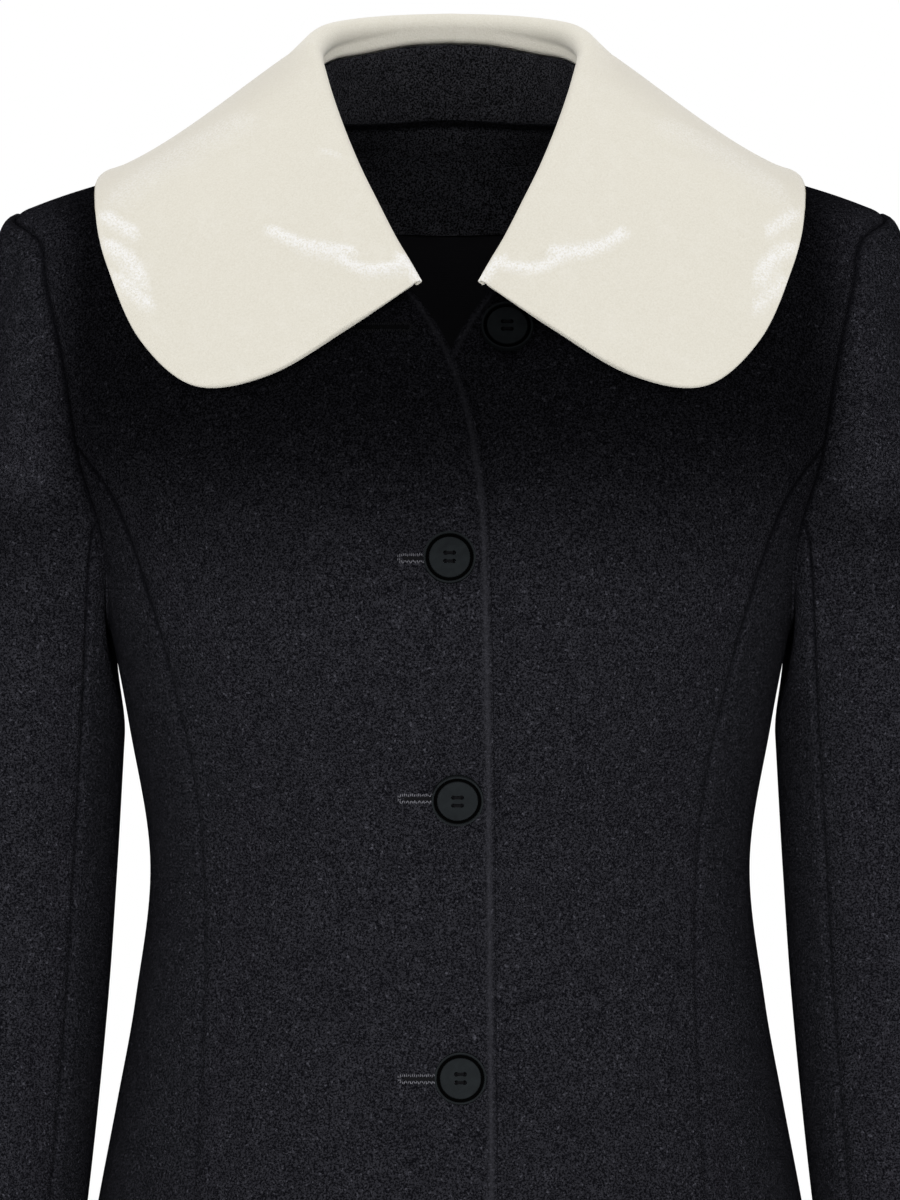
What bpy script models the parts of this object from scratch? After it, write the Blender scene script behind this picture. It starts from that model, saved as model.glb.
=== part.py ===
"""A fitted, single-breasted wool coat with a wide velvet collar, in the hollow shape that it has when worn.

Metres, +Z up. The front faces -Y, and +X is the wearer's left. The origin lies midway between the two
shoulder points, where the wearer's shoulders hold the coat.
"""

import math
from collections import namedtuple

import bmesh
import bpy
from mathutils import Vector

# Cloth thicknesses, and the gaps that pieces keep where they are sewn together or lie on each other
WOOL = 0.0025
VELVET = 0.003
STAND_WOOL = 0.002
FACING_WOOL = 0.0015
LINING = 0.001
SEAM_GAP = 0.0005
SLEEVE_GAP = 0.0007
REST_GAP = 0.0008

# Main heights, from the shoulder points
HEM = -0.827
HIP = -0.494
UNDERARM = -0.205
SEAM_TOP = -0.118
COLLAR_END = -0.048
NECK_POINT = 0.045
NAPE = 0.050
FACING_DEPTH = 0.054
FACING_LIFT = 0.028
FACING_TURN = 86.0
LINING_HEM = -0.800

# Horizontal sections of the body, a rounded ellipse at each height. Power 2 is an ellipse, more is squarer.
Section = namedtuple("Section", "height half_width front back power")
BODY = (
    Section(-0.827, 0.2200, 0.165, 0.170, 2.10),
    Section(-0.660, 0.2010, 0.148, 0.154, 2.20),
    Section(-0.560, 0.1870, 0.138, 0.142, 2.30),
    Section(-0.494, 0.1755, 0.130, 0.132, 2.35),
    Section(-0.444, 0.1660, 0.122, 0.120, 2.35),
    Section(-0.394, 0.1570, 0.115, 0.106, 2.35),
    Section(-0.325, 0.1495, 0.110, 0.092, 2.30),
    Section(-0.256, 0.1600, 0.127, 0.101, 2.40),
    Section(-0.205, 0.1700, 0.137, 0.110, 2.50),
    Section(-0.167, 0.1800, 0.134, 0.115, 2.50),
    Section(-0.118, 0.2030, 0.121, 0.118, 2.40),
    Section(-0.055, 0.2220, 0.097, 0.116, 2.20),
    Section(-0.020, 0.2240, 0.081, 0.110, 2.10),
    Section(0.000, 0.2130, 0.071, 0.105, 2.00),
    Section(0.030, 0.1190, 0.052, 0.093, 2.00),
    Section(0.045, 0.0720, 0.040, 0.084, 2.00),
    Section(0.052, 0.0600, 0.034, 0.080, 2.00),
)

# Front edge and neckline: how far each lies to its own side of the centre, below zero where it overlaps
Edge = namedtuple("Edge", "height inset")
FRONT_EDGE = (
    Edge(-0.827, -0.0250),
    Edge(-0.320, -0.0220),
    Edge(-0.190, -0.0200),
    Edge(-0.145, -0.0180),
    Edge(-0.112, -0.0132),
    Edge(-0.084, -0.0055),
    Edge(-0.064, 0.0040),
    Edge(-0.048, 0.0146),
    Edge(-0.022, 0.0345),
    Edge(0.004, 0.0515),
    Edge(0.026, 0.0640),
    Edge(0.045, 0.0720),
)
OVERLAP = 0.027
OVERLAP_FADE = 0.030

# Seams that run from the hem to the armhole, as half widths seen from the front and from the back
Seam = namedtuple("Seam", "height half_width")
FRONT_SEAM = (
    Seam(-0.827, 0.1520),
    Seam(-0.475, 0.1245),
    Seam(-0.381, 0.1205),
    Seam(-0.314, 0.1220),
    Seam(-0.275, 0.1266),
    Seam(-0.237, 0.1347),
    Seam(-0.200, 0.1444),
    Seam(-0.146, 0.1640),
)
BACK_SEAM = (
    Seam(-0.827, 0.1250),
    Seam(-0.475, 0.0980),
    Seam(-0.325, 0.0860),
    Seam(-0.237, 0.0980),
    Seam(-0.160, 0.1400),
)

# The armhole from the shoulder point to under the arm, at equal steps. Angles turn round the body from the
# centre front.
Armhole = namedtuple("Armhole", "height front_angle back_angle")
ARMHOLE = (
    Armhole(0.000, 90.0, 90.0),
    Armhole(-0.014, 66.5, 113.5),
    Armhole(-0.040, 61.5, 118.5),
    Armhole(-0.070, 60.0, 120.5),
    Armhole(-0.100, 61.0, 120.0),
    Armhole(-0.130, 64.2, 117.0),
    Armhole(-0.163, 68.6, 112.5),
    Armhole(-0.193, 77.0, 103.5),
    Armhole(-0.205, 90.0, 90.0),
)

# Sleeve rings below the cap, each leaning between its outer and its inner point
Ring = namedtuple("Ring", "outer_x outer_z inner_x inner_z middle_y half_depth")
SLEEVE = (
    Ring(0.2560, -0.215, 0.1628, -0.262, 0.002, 0.0660),
    Ring(0.2610, -0.300, 0.1667, -0.330, 0.003, 0.0620),
    Ring(0.2635, -0.390, 0.1715, -0.400, 0.000, 0.0570),
    Ring(0.2640, -0.490, 0.1800, -0.490, -0.014, 0.0520),
    Ring(0.2620, -0.598, 0.1915, -0.588, -0.040, 0.0460),
)
CAP_REACH = 0.045
CAP_RISE = 0.020
CAP_FORWARD = 0.010
UNDERARM_DROP = Vector((0.006, 0.0, -0.050))

# The collar from the centre back to its front point, at equal steps. The crest is the fold, the edge lies on
# the coat, the roll is the fold's radius, the band is the part that turns down inside the neck and the lift
# is the upper face's distance from the coat. The neck is the place on the neckline below: 0 at the nape, 1 at
# the neck point and 2 at the collar's end.
Collar = namedtuple("Collar", "crest_x crest_y crest_z edge_x edge_z roll band lift neck")
COLLAR = (
    Collar(0.0000, 0.080, 0.1070, 0.0000, -0.0450, 0.0070, 0.007, 0.0042, 0.000),
    Collar(0.0270, 0.075, 0.1055, 0.0660, -0.0420, 0.0070, 0.007, 0.0044, 0.213),
    Collar(0.0470, 0.058, 0.1010, 0.1220, -0.0290, 0.0070, 0.007, 0.0052, 0.405),
    Collar(0.0590, 0.033, 0.0940, 0.1580, -0.0060, 0.0066, 0.006, 0.0062, 0.602),
    Collar(0.0640, 0.007, 0.0825, 0.1740, 0.0124, 0.0064, 0.005, 0.0060, 0.779),
    Collar(0.0605, -0.017, 0.0650, 0.1735, -0.0080, 0.0062, 0.005, 0.0058, 1.000),
    Collar(0.0535, -0.040, 0.0430, 0.1665, -0.0320, 0.0060, 0.004, 0.0048, 1.120),
    Collar(0.0445, -0.062, 0.0200, 0.1500, -0.0680, 0.0056, 0.004, 0.0042, 1.334),
    Collar(0.0350, -0.078, 0.0000, 0.1230, -0.0895, 0.0052, 0.003, 0.0042, 1.547),
    Collar(0.0260, -0.087, -0.0180, 0.0880, -0.0870, 0.0048, 0.002, 0.0050, 1.725),
    Collar(0.0190, -0.092, -0.0300, 0.0510, -0.0660, 0.0044, 0.002, 0.0066, 1.852),
    Collar(0.0134, -0.097, -0.0400, 0.0180, -0.0446, 0.0040, 0.001, 0.0066, 1.960),
)
SHOULDER_STEP = 4 / 11
STAND_END = 0.51
FALL_START = 0.25
FALL_END = 0.33
SHOULDER_SAG = 0.012
SAG_START = 0.6
SAG_SPREAD = 0.13
BAND_SHARE = 0.10
ROLL_SHARE = 0.40

# Buttons: turned discs with a raised rim, a dished face and four sewing holes
Button = namedtuple("Button", "name x height side")
BUTTONS = (
    Button("button_1", 0.0276, -0.0620, 1),
    Button("button_2", 0.0002, -0.1740, -1),
    Button("button_3", -0.0036, -0.2895, -1),
    Button("button_4", -0.0050, -0.4240, -1),
)
BUTTON_RADIUS = 0.0125
BUTTON_THICKNESS = 0.0040
BUTTON_RIM = 0.0024
BUTTON_DISH = 0.0010
BUTTON_HOLE = 0.0009
BUTTON_HOLE_SPACING = 0.0040
BUTTON_SEGMENTS = 24

# How finely the pieces are laid out
FRONT_COLUMNS = 10
SIDE_FRONT_COLUMNS = 5
SIDE_BACK_COLUMNS = 6
BACK_COLUMNS = 8
SKIRT_ROWS = 5
WAIST_ROWS = 8
SIDE_TOP_ROWS = 3
SIDE_TIP = 0.92
LAPEL_ROWS = 4
NECK_ROWS = 6
CAP_ROWS = 7
SLEEVE_ROWS = 9
COLLAR_COLUMNS = 24
FALL_ROWS = 7
ROLL_ROWS = 4
FACING_ROWS = 3
FACING_COLUMNS = 8
LINING_ROWS = 3
LINING_COLUMNS = 5
NUDGE = 1e-4
STEP_NUDGE = 0.01
SHARE_NUDGE = 0.004


def blend(low, high, share):
    return low + (high - low) * share


def ease(share):
    """A smooth step from 0 to 1."""
    share = min(1.0, max(0.0, share))
    return share * share * (3 - 2 * share)


def curve(keys, values, at):
    """A smooth curve through values at rising keys, straight beyond its ends."""
    last = len(keys) - 1
    slopes = []
    for k in range(last + 1):
        low = max(0, k - 1)
        high = min(last, k + 1)
        slopes.append((values[high] - values[low]) / (keys[high] - keys[low]))
    if at <= keys[0]:
        return values[0] + slopes[0] * (at - keys[0])
    if at >= keys[last]:
        return values[last] + slopes[last] * (at - keys[last])
    k = max(i for i in range(last) if keys[i] <= at)
    span = keys[k + 1] - keys[k]
    t = (at - keys[k]) / span
    start = values[k] * (1 + 2 * t) * (1 - t) ** 2 + slopes[k] * span * t * (1 - t) ** 2
    end = values[k + 1] * t * t * (3 - 2 * t) - slopes[k + 1] * span * t * t * (1 - t)
    return start + end


def by_height(table, column, height):
    """A column of a table whose rows rise in height."""
    return curve([row.height for row in table], [getattr(row, column) for row in table], height)


def by_step(table, column, step):
    """A column of a table whose rows stand at equal steps from 0 to 1."""
    keys = [k / (len(table) - 1) for k in range(len(table))]
    return curve(keys, [getattr(row, column) for row in table], step)


def signed_power(value, power):
    return math.copysign(abs(value) ** power, value)


def body_point(angle, height):
    """The body's outer face, with the angle in degrees from the centre front round the wearer's left."""
    turn = math.radians(angle)
    shape = 2 / by_height(BODY, "power", height)
    depth = by_height(BODY, "front" if math.cos(turn) >= 0 else "back", height)
    x = by_height(BODY, "half_width", height) * signed_power(math.sin(turn), shape)
    y = -depth * signed_power(math.cos(turn), shape)
    return Vector((x, y, height))


def body_normal(angle, height):
    across = body_point(angle + 1, height) - body_point(angle - 1, height)
    up = body_point(angle, height + NUDGE) - body_point(angle, height - NUDGE)
    return across.cross(up).normalized()


def front_angle(half_width, height):
    """The angle at which the front has this half width. The back's angle is 180 degrees less it."""
    share = half_width / by_height(BODY, "half_width", height)
    share = signed_power(share, by_height(BODY, "power", height) / 2)
    return math.degrees(math.asin(max(-1.0, min(1.0, share))))


def armhole(step, facing):
    """Angle and height on the armhole, from 0 at the shoulder point to 1 under the arm."""
    return by_step(ARMHOLE, facing + "_angle", step), by_step(ARMHOLE, "height", step)


def armhole_step(height):
    """The step at which the armhole passes a height."""
    low = 0.0
    high = 1.0
    for _ in range(40):
        middle = (low + high) / 2
        if by_step(ARMHOLE, "height", middle) > height:
            low = middle
        else:
            high = middle
    return low


SEAM_STEP = armhole_step(SEAM_TOP)
UPPER_ROWS = LAPEL_ROWS + NECK_ROWS


def to_armhole(seam, facing):
    """The seam's rows, ended on the armhole."""
    return seam + (Seam(SEAM_TOP, body_point(*armhole(SEAM_STEP, facing)).x),)


def armhole_steps():
    """The steps at which the panels' rows meet the armhole, from the shoulder point to under the arm."""
    upper = [SEAM_STEP * k / UPPER_ROWS for k in range(UPPER_ROWS)]
    return upper + [blend(SEAM_STEP, 1.0, k / SIDE_TOP_ROWS) for k in range(SIDE_TOP_ROWS + 1)]


def rising_heights():
    """Heights of the level rows, from the hem to under the arm."""
    skirt = [blend(HEM, HIP, k / SKIRT_ROWS) for k in range(SKIRT_ROWS)]
    return skirt + [blend(HIP, UNDERARM, k / WAIST_ROWS) for k in range(WAIST_ROWS + 1)]


def seam_heights():
    """Heights of the rows along the front and the back seam, from the hem to the armhole."""
    return rising_heights() + [
        blend(UNDERARM, SEAM_TOP, k / SIDE_TOP_ROWS) for k in range(1, SIDE_TOP_ROWS + 1)
    ]


def seam_place(facing, height):
    """Angle and height on a seam, which ends on the armhole."""
    seam = to_armhole(FRONT_SEAM if facing == "front" else BACK_SEAM, facing)
    angle = front_angle(by_height(seam, "half_width", height), height)
    return (angle if facing == "front" else 180 - angle), height


def front_neck_place(share):
    """Angle and height on the front's neckline, from the collar's end to the neck point."""
    height = blend(COLLAR_END, NECK_POINT, share)
    if share >= 1:
        return 90.0, NECK_POINT
    return front_angle(by_height(FRONT_EDGE, "inset", height), height), height


def back_neck_place(share):
    """Angle and height on the back's neckline, from the nape to the neck point."""
    return blend(180.0, 90.0, share), blend(NAPE, NECK_POINT, ease(share))


def front_rows():
    """Rows from the front edge and neckline to the front seam and armhole, each as its two ends."""
    rows = []
    for height in seam_heights():
        edge = front_angle(by_height(FRONT_EDGE, "inset", height), height)
        rows.append(((edge, height), seam_place("front", height)))
    for k in range(1, UPPER_ROWS + 1):
        if k <= LAPEL_ROWS:
            height = blend(SEAM_TOP, COLLAR_END, k / LAPEL_ROWS)
            start = front_angle(by_height(FRONT_EDGE, "inset", height), height), height
        else:
            start = front_neck_place((k - LAPEL_ROWS) / NECK_ROWS)
        rows.append((start, armhole(SEAM_STEP * (1 - k / UPPER_ROWS), "front")))
    return rows


def back_rows():
    """Rows from the centre back and neckline to the back seam and armhole."""
    rows = [((180.0, height), seam_place("back", height)) for height in seam_heights()]
    for k in range(1, UPPER_ROWS + 1):
        if k <= LAPEL_ROWS:
            start = 180.0, blend(SEAM_TOP, NAPE, k / LAPEL_ROWS)
        else:
            start = back_neck_place((k - LAPEL_ROWS) / NECK_ROWS)
        rows.append((start, armhole(SEAM_STEP * (1 - k / UPPER_ROWS), "back")))
    return rows


def side_rows(facing):
    """Rows from the front or back seam to the side seam and the foot of the armhole."""
    rows = [(seam_place(facing, height), (90.0, height)) for height in rising_heights()]
    for k in range(1, SIDE_TOP_ROWS + 1):
        share = k / SIDE_TOP_ROWS
        step = blend(1.0, SEAM_STEP, share)
        rows.append((seam_place(facing, blend(UNDERARM, SEAM_TOP, share)), armhole(step, facing)))
    below = rows[-2]
    top = rows[-1]
    rows[-1] = tuple(
        tuple(blend(low, high, SIDE_TIP) for low, high in zip(*pair)) for pair in zip(below, top)
    )
    return rows


def material(name, colour, roughness):
    made = bpy.data.materials.new(name)
    made.use_nodes = True
    shader = made.node_tree.nodes["Principled BSDF"]
    shader.inputs["Base Color"].default_value = (*colour, 1)
    shader.inputs["Roughness"].default_value = roughness
    shader.inputs["Metallic"].default_value = 0
    made.diffuse_color = (*colour, 1)
    return made


def named_object(name, mesh, finish, collection):
    data = bpy.data.meshes.new(name)
    mesh.to_mesh(data)
    mesh.free()
    data.materials.append(finish)
    made = bpy.data.objects.new(name, data)
    collection.objects.link(made)
    return made


def trimmed(grid):
    """The grid of points with its four edges drawn in by half a seam's gap."""
    rows = len(grid) - 1
    columns = len(grid[0]) - 1
    kept = [list(row) for row in grid]
    for row in range(rows + 1):
        for end, inside in ((0, 1), (columns, columns - 1)):
            kept[row][end] += (grid[row][inside] - grid[row][end]).normalized() * SEAM_GAP / 2
    for column in range(columns + 1):
        for end, inside in ((0, 1), (rows, rows - 1)):
            kept[end][column] += (grid[inside][column] - grid[end][column]).normalized() * SEAM_GAP / 2
    return kept


def cloth(name, points, normals, wall, side, finish, collection):
    """A wall of cloth: a grid laid on the points of its outer face, extruded to its inner face."""
    rows = len(points) - 1
    columns = len(points[0]) - 1
    outer = trimmed(points)
    mesh = bmesh.new()
    bmesh.ops.create_grid(mesh, x_segments=columns, y_segments=rows, size=0.5)
    face = list(mesh.verts)
    made = bmesh.ops.extrude_face_region(mesh, geom=mesh.faces[:], use_keep_orig=True)
    behind = [item for item in made["geom"] if isinstance(item, bmesh.types.BMVert)]
    for verts, depth in ((face, 0.0), (behind, wall)):
        for vert in verts:
            column = round((vert.co.x + 0.5) * columns)
            row = round((vert.co.y + 0.5) * rows)
            place = outer[row][column] - normals[row][column] * depth
            vert.co = (place.x * side, place.y, place.z)
    bmesh.ops.recalc_face_normals(mesh, faces=mesh.faces[:])
    return named_object(name, mesh, finish, collection)


def straight(rows, columns):
    """Places on rows that each run straight from one end to the other."""
    return [
        [
            (blend(start[0], stop[0], k / columns), blend(start[1], stop[1], k / columns))
            for k in range(columns + 1)
        ]
        for start, stop in rows
    ]


def body_piece(name, places, side, finish, collection, wall=WOOL, lift=lambda x: 0.0):
    """A piece that lies along the body, from a grid of angles and heights."""
    normals = [[body_normal(*place) for place in row] for row in places]
    points = []
    for row, facing in zip(places, normals):
        surface = [body_point(*place) for place in row]
        points.append([point + out * lift(point.x) for point, out in zip(surface, facing)])
    return cloth(name, points, normals, wall, side, finish, collection)


def tucked_under(x):
    """How far the left front sinks to lie under the right one."""
    return -(WOOL + REST_GAP) * (1 - ease((x - OVERLAP) / OVERLAP_FADE))


def front_face(x, height, side):
    """A front's outer face and its direction, at a place seen from the front on the front's own side."""
    angle = front_angle(x, height)
    facing = body_normal(angle, height)
    sunk = tucked_under(x) if side > 0 else 0.0
    return body_point(angle, height) + facing * sunk, facing


def sleeve_ring(turn, step):
    """A point of the sleeve below its cap. The turn runs from the outside through the front."""
    lean = math.cos(math.radians(turn))
    outer = Vector((by_step(SLEEVE, "outer_x", step), 0, by_step(SLEEVE, "outer_z", step)))
    inner = Vector((by_step(SLEEVE, "inner_x", step), 0, by_step(SLEEVE, "inner_z", step)))
    point = (outer + inner) / 2 + (outer - inner) / 2 * lean
    point.y = by_step(SLEEVE, "middle_y", step)
    point.y -= by_step(SLEEVE, "half_depth", step) * math.sin(math.radians(turn))
    return point


def sleeve_start(turn):
    """The sleeve's edge on the armhole, a seam's gap outside it."""
    step = abs(turn if turn <= 180 else 360 - turn) / 180
    point = body_point(*armhole(step, "front" if turn <= 180 else "back"))
    return point + Vector((SLEEVE_GAP, 0, 0))


def sleeve_point(turn, step):
    """A point of the sleeve, from 0 at the armhole through 1 at the foot of the cap to 2 at the cuff."""
    if step >= 1:
        return sleeve_ring(turn, step - 1)
    start = sleeve_start(turn)
    end = sleeve_ring(turn, 0)
    over = (1 + math.cos(math.radians(turn))) / 2
    leave = UNDERARM_DROP.lerp(Vector((CAP_REACH, 0, CAP_RISE)), over)
    leave.y -= CAP_FORWARD * math.sin(math.radians(turn))
    arrive = (sleeve_ring(turn, NUDGE) - end).normalized() * (end - start).length
    return (
        start * (1 + 2 * step) * (1 - step) ** 2
        + leave * step * (1 - step) ** 2
        + end * step * step * (3 - 2 * step)
        - arrive * step * step * (1 - step)
    )


def sleeve_normal(turn, step):
    round_it = sleeve_point(turn + 0.5, step) - sleeve_point(turn - 0.5, step)
    low = max(0.0, step - NUDGE * 10)
    along = sleeve_point(turn, step + NUDGE * 10) - sleeve_point(turn, low)
    return round_it.cross(along).normalized()


def sleeve_turns():
    """The turns of the sleeve's columns, which meet the ends of the panels' rows on the armhole."""
    front = [180 * step for step in armhole_steps()]
    return front + [360 - turn for turn in reversed(front[:-1])]


def sleeve_panel(name, turns, side, finish, collection):
    steps = [k / CAP_ROWS for k in range(CAP_ROWS)]
    steps += [1 + k / SLEEVE_ROWS for k in range(SLEEVE_ROWS + 1)]
    points = [[sleeve_point(turn % 360, step) for turn in turns] for step in steps]
    normals = [[sleeve_normal(turn % 360, step) for turn in turns] for step in steps]
    return cloth(name, points, normals, WOOL, side, finish, collection)


def collar_crest(step):
    return Vector([by_step(COLLAR, "crest_" + axis, abs(step)) for axis in "xyz"])


def collar_edge(step):
    """The collar's edge, lying on the coat, with the shoulder seam between its back and its front."""
    height = by_step(COLLAR, "edge_z", step)
    angle = front_angle(by_step(COLLAR, "edge_x", step), height)
    if step < SHOULDER_STEP:
        angle = 180 - angle
    return body_point(angle, height) + body_normal(angle, height) * by_step(COLLAR, "lift", step)


def collar_frame(step):
    """The fold's middle, its direction towards the edge and its outward direction, at a step."""
    crest = collar_crest(step)
    along = Vector((1, 0, 0))
    if step > STEP_NUDGE:
        along = collar_crest(min(1.0, step + STEP_NUDGE)) - collar_crest(step - STEP_NUDGE)
    along.normalize()
    fall = collar_edge(step) - crest
    fall = (fall - along * fall.dot(along)).normalized()
    out = along.cross(fall).normalized()
    return crest + fall * by_step(COLLAR, "roll", step), fall, out


def neck_point(step):
    """The neckline below a collar step."""
    place = by_step(COLLAR, "neck", step)
    if place <= 1:
        return body_point(*back_neck_place(place))
    return body_point(*front_neck_place(2 - place))


def band_line(step):
    """Where the fold ends inside the neck, and the direction from there down to the neckline."""
    middle, _, out = collar_frame(step)
    start = middle - out * by_step(COLLAR, "roll", step)
    return start, (neck_point(step) - start).normalized()


def body_measure(point):
    """1 on the body's outer face, less inside it and more outside it."""
    power = by_height(BODY, "power", point.z)
    across = abs(point.x) / by_height(BODY, "half_width", point.z)
    depth = abs(point.y) / by_height(BODY, "front" if point.y < 0 else "back", point.z)
    return (across**power + depth**power) ** (1 / power)


def clear_of_body(point, lift):
    """The point, moved out until it is lifted clear of the body."""
    for _ in range(3):
        if point.z >= NECK_POINT:
            return point
        slope = Vector(
            [
                (body_measure(point + step) - body_measure(point - step)) / (2 * NUDGE)
                for step in (Vector((NUDGE, 0, 0)), Vector((0, NUDGE, 0)), Vector((0, 0, NUDGE)))
            ]
        )
        distance = (body_measure(point) - 1) / slope.length
        if distance >= lift:
            return point
        point = point + slope.normalized() * (lift - distance)
    return point


def collar_point(step, share):
    """The collar's upper face, from the band inside the neck over the fold to the edge."""
    middle, fall, out = collar_frame(step)
    roll = by_step(COLLAR, "roll", step)
    if share < BAND_SHARE:
        start, down = band_line(step)
        return start + down * by_step(COLLAR, "band", step) * (1 - share / BAND_SHARE)
    if share < ROLL_SHARE:
        turn = math.pi * (share - BAND_SHARE) / (ROLL_SHARE - BAND_SHARE)
        return middle - out * roll * math.cos(turn) - fall * roll * math.sin(turn)
    t = (share - ROLL_SHARE) / (1 - ROLL_SHARE)
    start = middle + out * roll
    end = collar_edge(step)
    length = (end - start).length
    sag = Vector((0, 0, SHOULDER_SAG * math.exp(-(((step - SHOULDER_STEP) / SAG_SPREAD) ** 2))))
    leave = start + fall * length * FALL_START - sag * SAG_START
    arrive = end.lerp(start, FALL_END) - sag
    point = (
        start * (1 - t) ** 3
        + leave * 3 * t * (1 - t) ** 2
        + arrive * 3 * t * t * (1 - t)
        + end * t**3
    )
    return clear_of_body(point, by_step(COLLAR, "lift", step))


def collar_place(position, share):
    """The collar from its right point at -1 to its left point at 1."""
    point = collar_point(abs(position), share)
    return Vector((math.copysign(point.x, position) if position else 0.0, point.y, point.z))


def surface_normal(surface, first, second, first_range, second_range):
    """The normal of a surface by the change from place to place, kept within the surface's ranges."""
    ahead = surface(min(first_range[1], first + SHARE_NUDGE), second)
    behind = surface(max(first_range[0], first - SHARE_NUDGE), second)
    above = surface(first, min(second_range[1], second + SHARE_NUDGE))
    below = surface(first, max(second_range[0], second - SHARE_NUDGE))
    return (ahead - behind).cross(above - below).normalized()


def collar_shares():
    shares = [0.0]
    shares += [blend(BAND_SHARE, ROLL_SHARE, k / ROLL_ROWS) for k in range(ROLL_ROWS)]
    return shares + [blend(ROLL_SHARE, 1.0, k / FALL_ROWS) for k in range(FALL_ROWS + 1)]


def collar_steps():
    return [k / COLLAR_COLUMNS for k in range(COLLAR_COLUMNS + 1)]


def both_sides(steps):
    return [-step for step in reversed(steps[1:])] + steps


def collar_piece(finish, collection):
    positions = both_sides(collar_steps())
    points = [[collar_place(position, share) for position in positions] for share in collar_shares()]
    normals = [
        [surface_normal(collar_place, position, share, (-1, 1), (0, 1)) for position in positions]
        for share in collar_shares()
    ]
    return cloth("collar", points, normals, VELVET, 1, finish, collection)


def stand_place(position, share):
    """The stand's outer face, from the neckline up to the collar's band."""
    step = abs(position)
    _, fall, out = collar_frame(step)
    start, down = band_line(step)
    aside = fall.cross(out).cross(down).normalized()
    head = start + down * (by_step(COLLAR, "band", step) + REST_GAP) + aside * STAND_WOOL
    foot = neck_point(step) - down * REST_GAP
    point = foot.lerp(head, share)
    return Vector((math.copysign(point.x, position) if position else 0.0, point.y, point.z))


def stand_piece(finish, collection):
    positions = both_sides([step for step in collar_steps() if step <= STAND_END])
    shares = (0.0, 0.5, 1.0)
    points = [[stand_place(position, share) for position in positions] for share in shares]
    normals = [
        [surface_normal(stand_place, position, share, (-1, 1), (0, 1)) for position in positions]
        for share in shares
    ]
    return cloth("collar_stand", points, normals, -STAND_WOOL, 1, finish, collection)


def facing_foot(share):
    """Height of the back neck facing's lower edge, from the centre back towards the shoulder."""
    return NAPE - FACING_DEPTH + FACING_LIFT * share**1.4


def inside_back(x):
    """How far the pieces inside the back lie under its outer face."""
    return -(WOOL + REST_GAP * 2)


def facing_piece(finish, collection):
    positions = both_sides([k / FACING_COLUMNS for k in range(FACING_COLUMNS + 1)])
    places = []
    for k in range(FACING_ROWS + 1):
        row = []
        for position in positions:
            turn = FACING_TURN * position
            top = back_neck_place(abs(turn) / 90)[1] - SEAM_GAP * 3
            row.append((180 - turn, blend(facing_foot(abs(position)), top, k / FACING_ROWS)))
        places.append(row)
    return body_piece("back_neck_facing", places, 1, finish, collection, FACING_WOOL, inside_back)


def lining_piece(name, side, finish, collection):
    """Half of the lining that shows inside the back, below the facing."""
    heights = [LINING_HEM] + [height for height in seam_heights() if height > LINING_HEM]
    top = heights[-1]
    heights += [blend(top, facing_foot(0), k / LINING_ROWS) for k in range(1, LINING_ROWS + 1)]
    shares = [column / FACING_COLUMNS for column in range(LINING_COLUMNS + 1)]
    places = []
    for height in heights:
        rise = max(0.0, (height - top) / (facing_foot(0) - top))
        row = [
            (180 - FACING_TURN * share, height + rise * (facing_foot(share) - facing_foot(0)))
            for share in shares
        ]
        places.append(row)
    return body_piece(name, places, side, finish, collection, LINING, inside_back)


def button(entry, finish, collection, cutters):
    """A button, turned from half its profile, drilled and set on its front."""
    half = BUTTON_THICKNESS / 2
    profile = (
        (0.0, -half),
        (BUTTON_RADIUS * 0.86, -half),
        (BUTTON_RADIUS, -half * 0.2),
        (BUTTON_RADIUS * 0.96, half),
        (BUTTON_RADIUS - BUTTON_RIM, half),
        (BUTTON_RADIUS - BUTTON_RIM * 1.4, half - BUTTON_DISH),
        (0.0, half - BUTTON_DISH),
    )
    mesh = bmesh.new()
    verts = [mesh.verts.new((radius, 0, z)) for radius, z in profile]
    edges = [mesh.edges.new(pair) for pair in zip(verts, verts[1:])]
    bmesh.ops.spin(
        mesh,
        geom=verts + edges,
        axis=(0, 0, 1),
        cent=(0, 0, 0),
        angle=math.tau,
        steps=BUTTON_SEGMENTS,
        use_merge=True,
    )
    bmesh.ops.remove_doubles(mesh, verts=mesh.verts[:], dist=1e-6)
    bmesh.ops.recalc_face_normals(mesh, faces=mesh.faces[:])
    made = named_object(entry.name, mesh, finish, collection)
    drill = bmesh.new()
    for x in (-1, 1):
        for y in (-1, 1):
            hole = bmesh.ops.create_cone(
                drill,
                cap_ends=True,
                segments=8,
                radius1=BUTTON_HOLE,
                radius2=BUTTON_HOLE,
                depth=BUTTON_THICKNESS * 2,
            )
            shift = (x * BUTTON_HOLE_SPACING / 2, y * BUTTON_HOLE_SPACING / 2, 0)
            bmesh.ops.translate(drill, verts=hole["verts"], vec=shift)
    cutter = named_object(entry.name + "_drill", drill, finish, cutters)
    cutter.hide_render = True
    cutter.display_type = "WIRE"
    cut = made.modifiers.new("Sewing holes", "BOOLEAN")
    cut.object = cutter
    cut.operation = "DIFFERENCE"
    cut.solver = "EXACT"
    point, facing = front_face(entry.x, entry.height, entry.side)
    seat = 0.0
    for k in range(BUTTON_SEGMENTS):
        turn = math.tau * k / BUTTON_SEGMENTS
        x = entry.x + BUTTON_RADIUS * math.cos(turn)
        height = entry.height + BUTTON_RADIUS * math.sin(turn)
        seat = max(seat, (front_face(x, height, entry.side)[0] - point).dot(facing))
    place = point + facing * (seat + SEAM_GAP + half)
    place.x *= entry.side
    facing.x *= entry.side
    turn = facing.to_track_quat("Z", "Y")
    for part in (made, cutter):
        part.location = place
        part.rotation_mode = "QUATERNION"
        part.rotation_quaternion = turn
    return made


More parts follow.
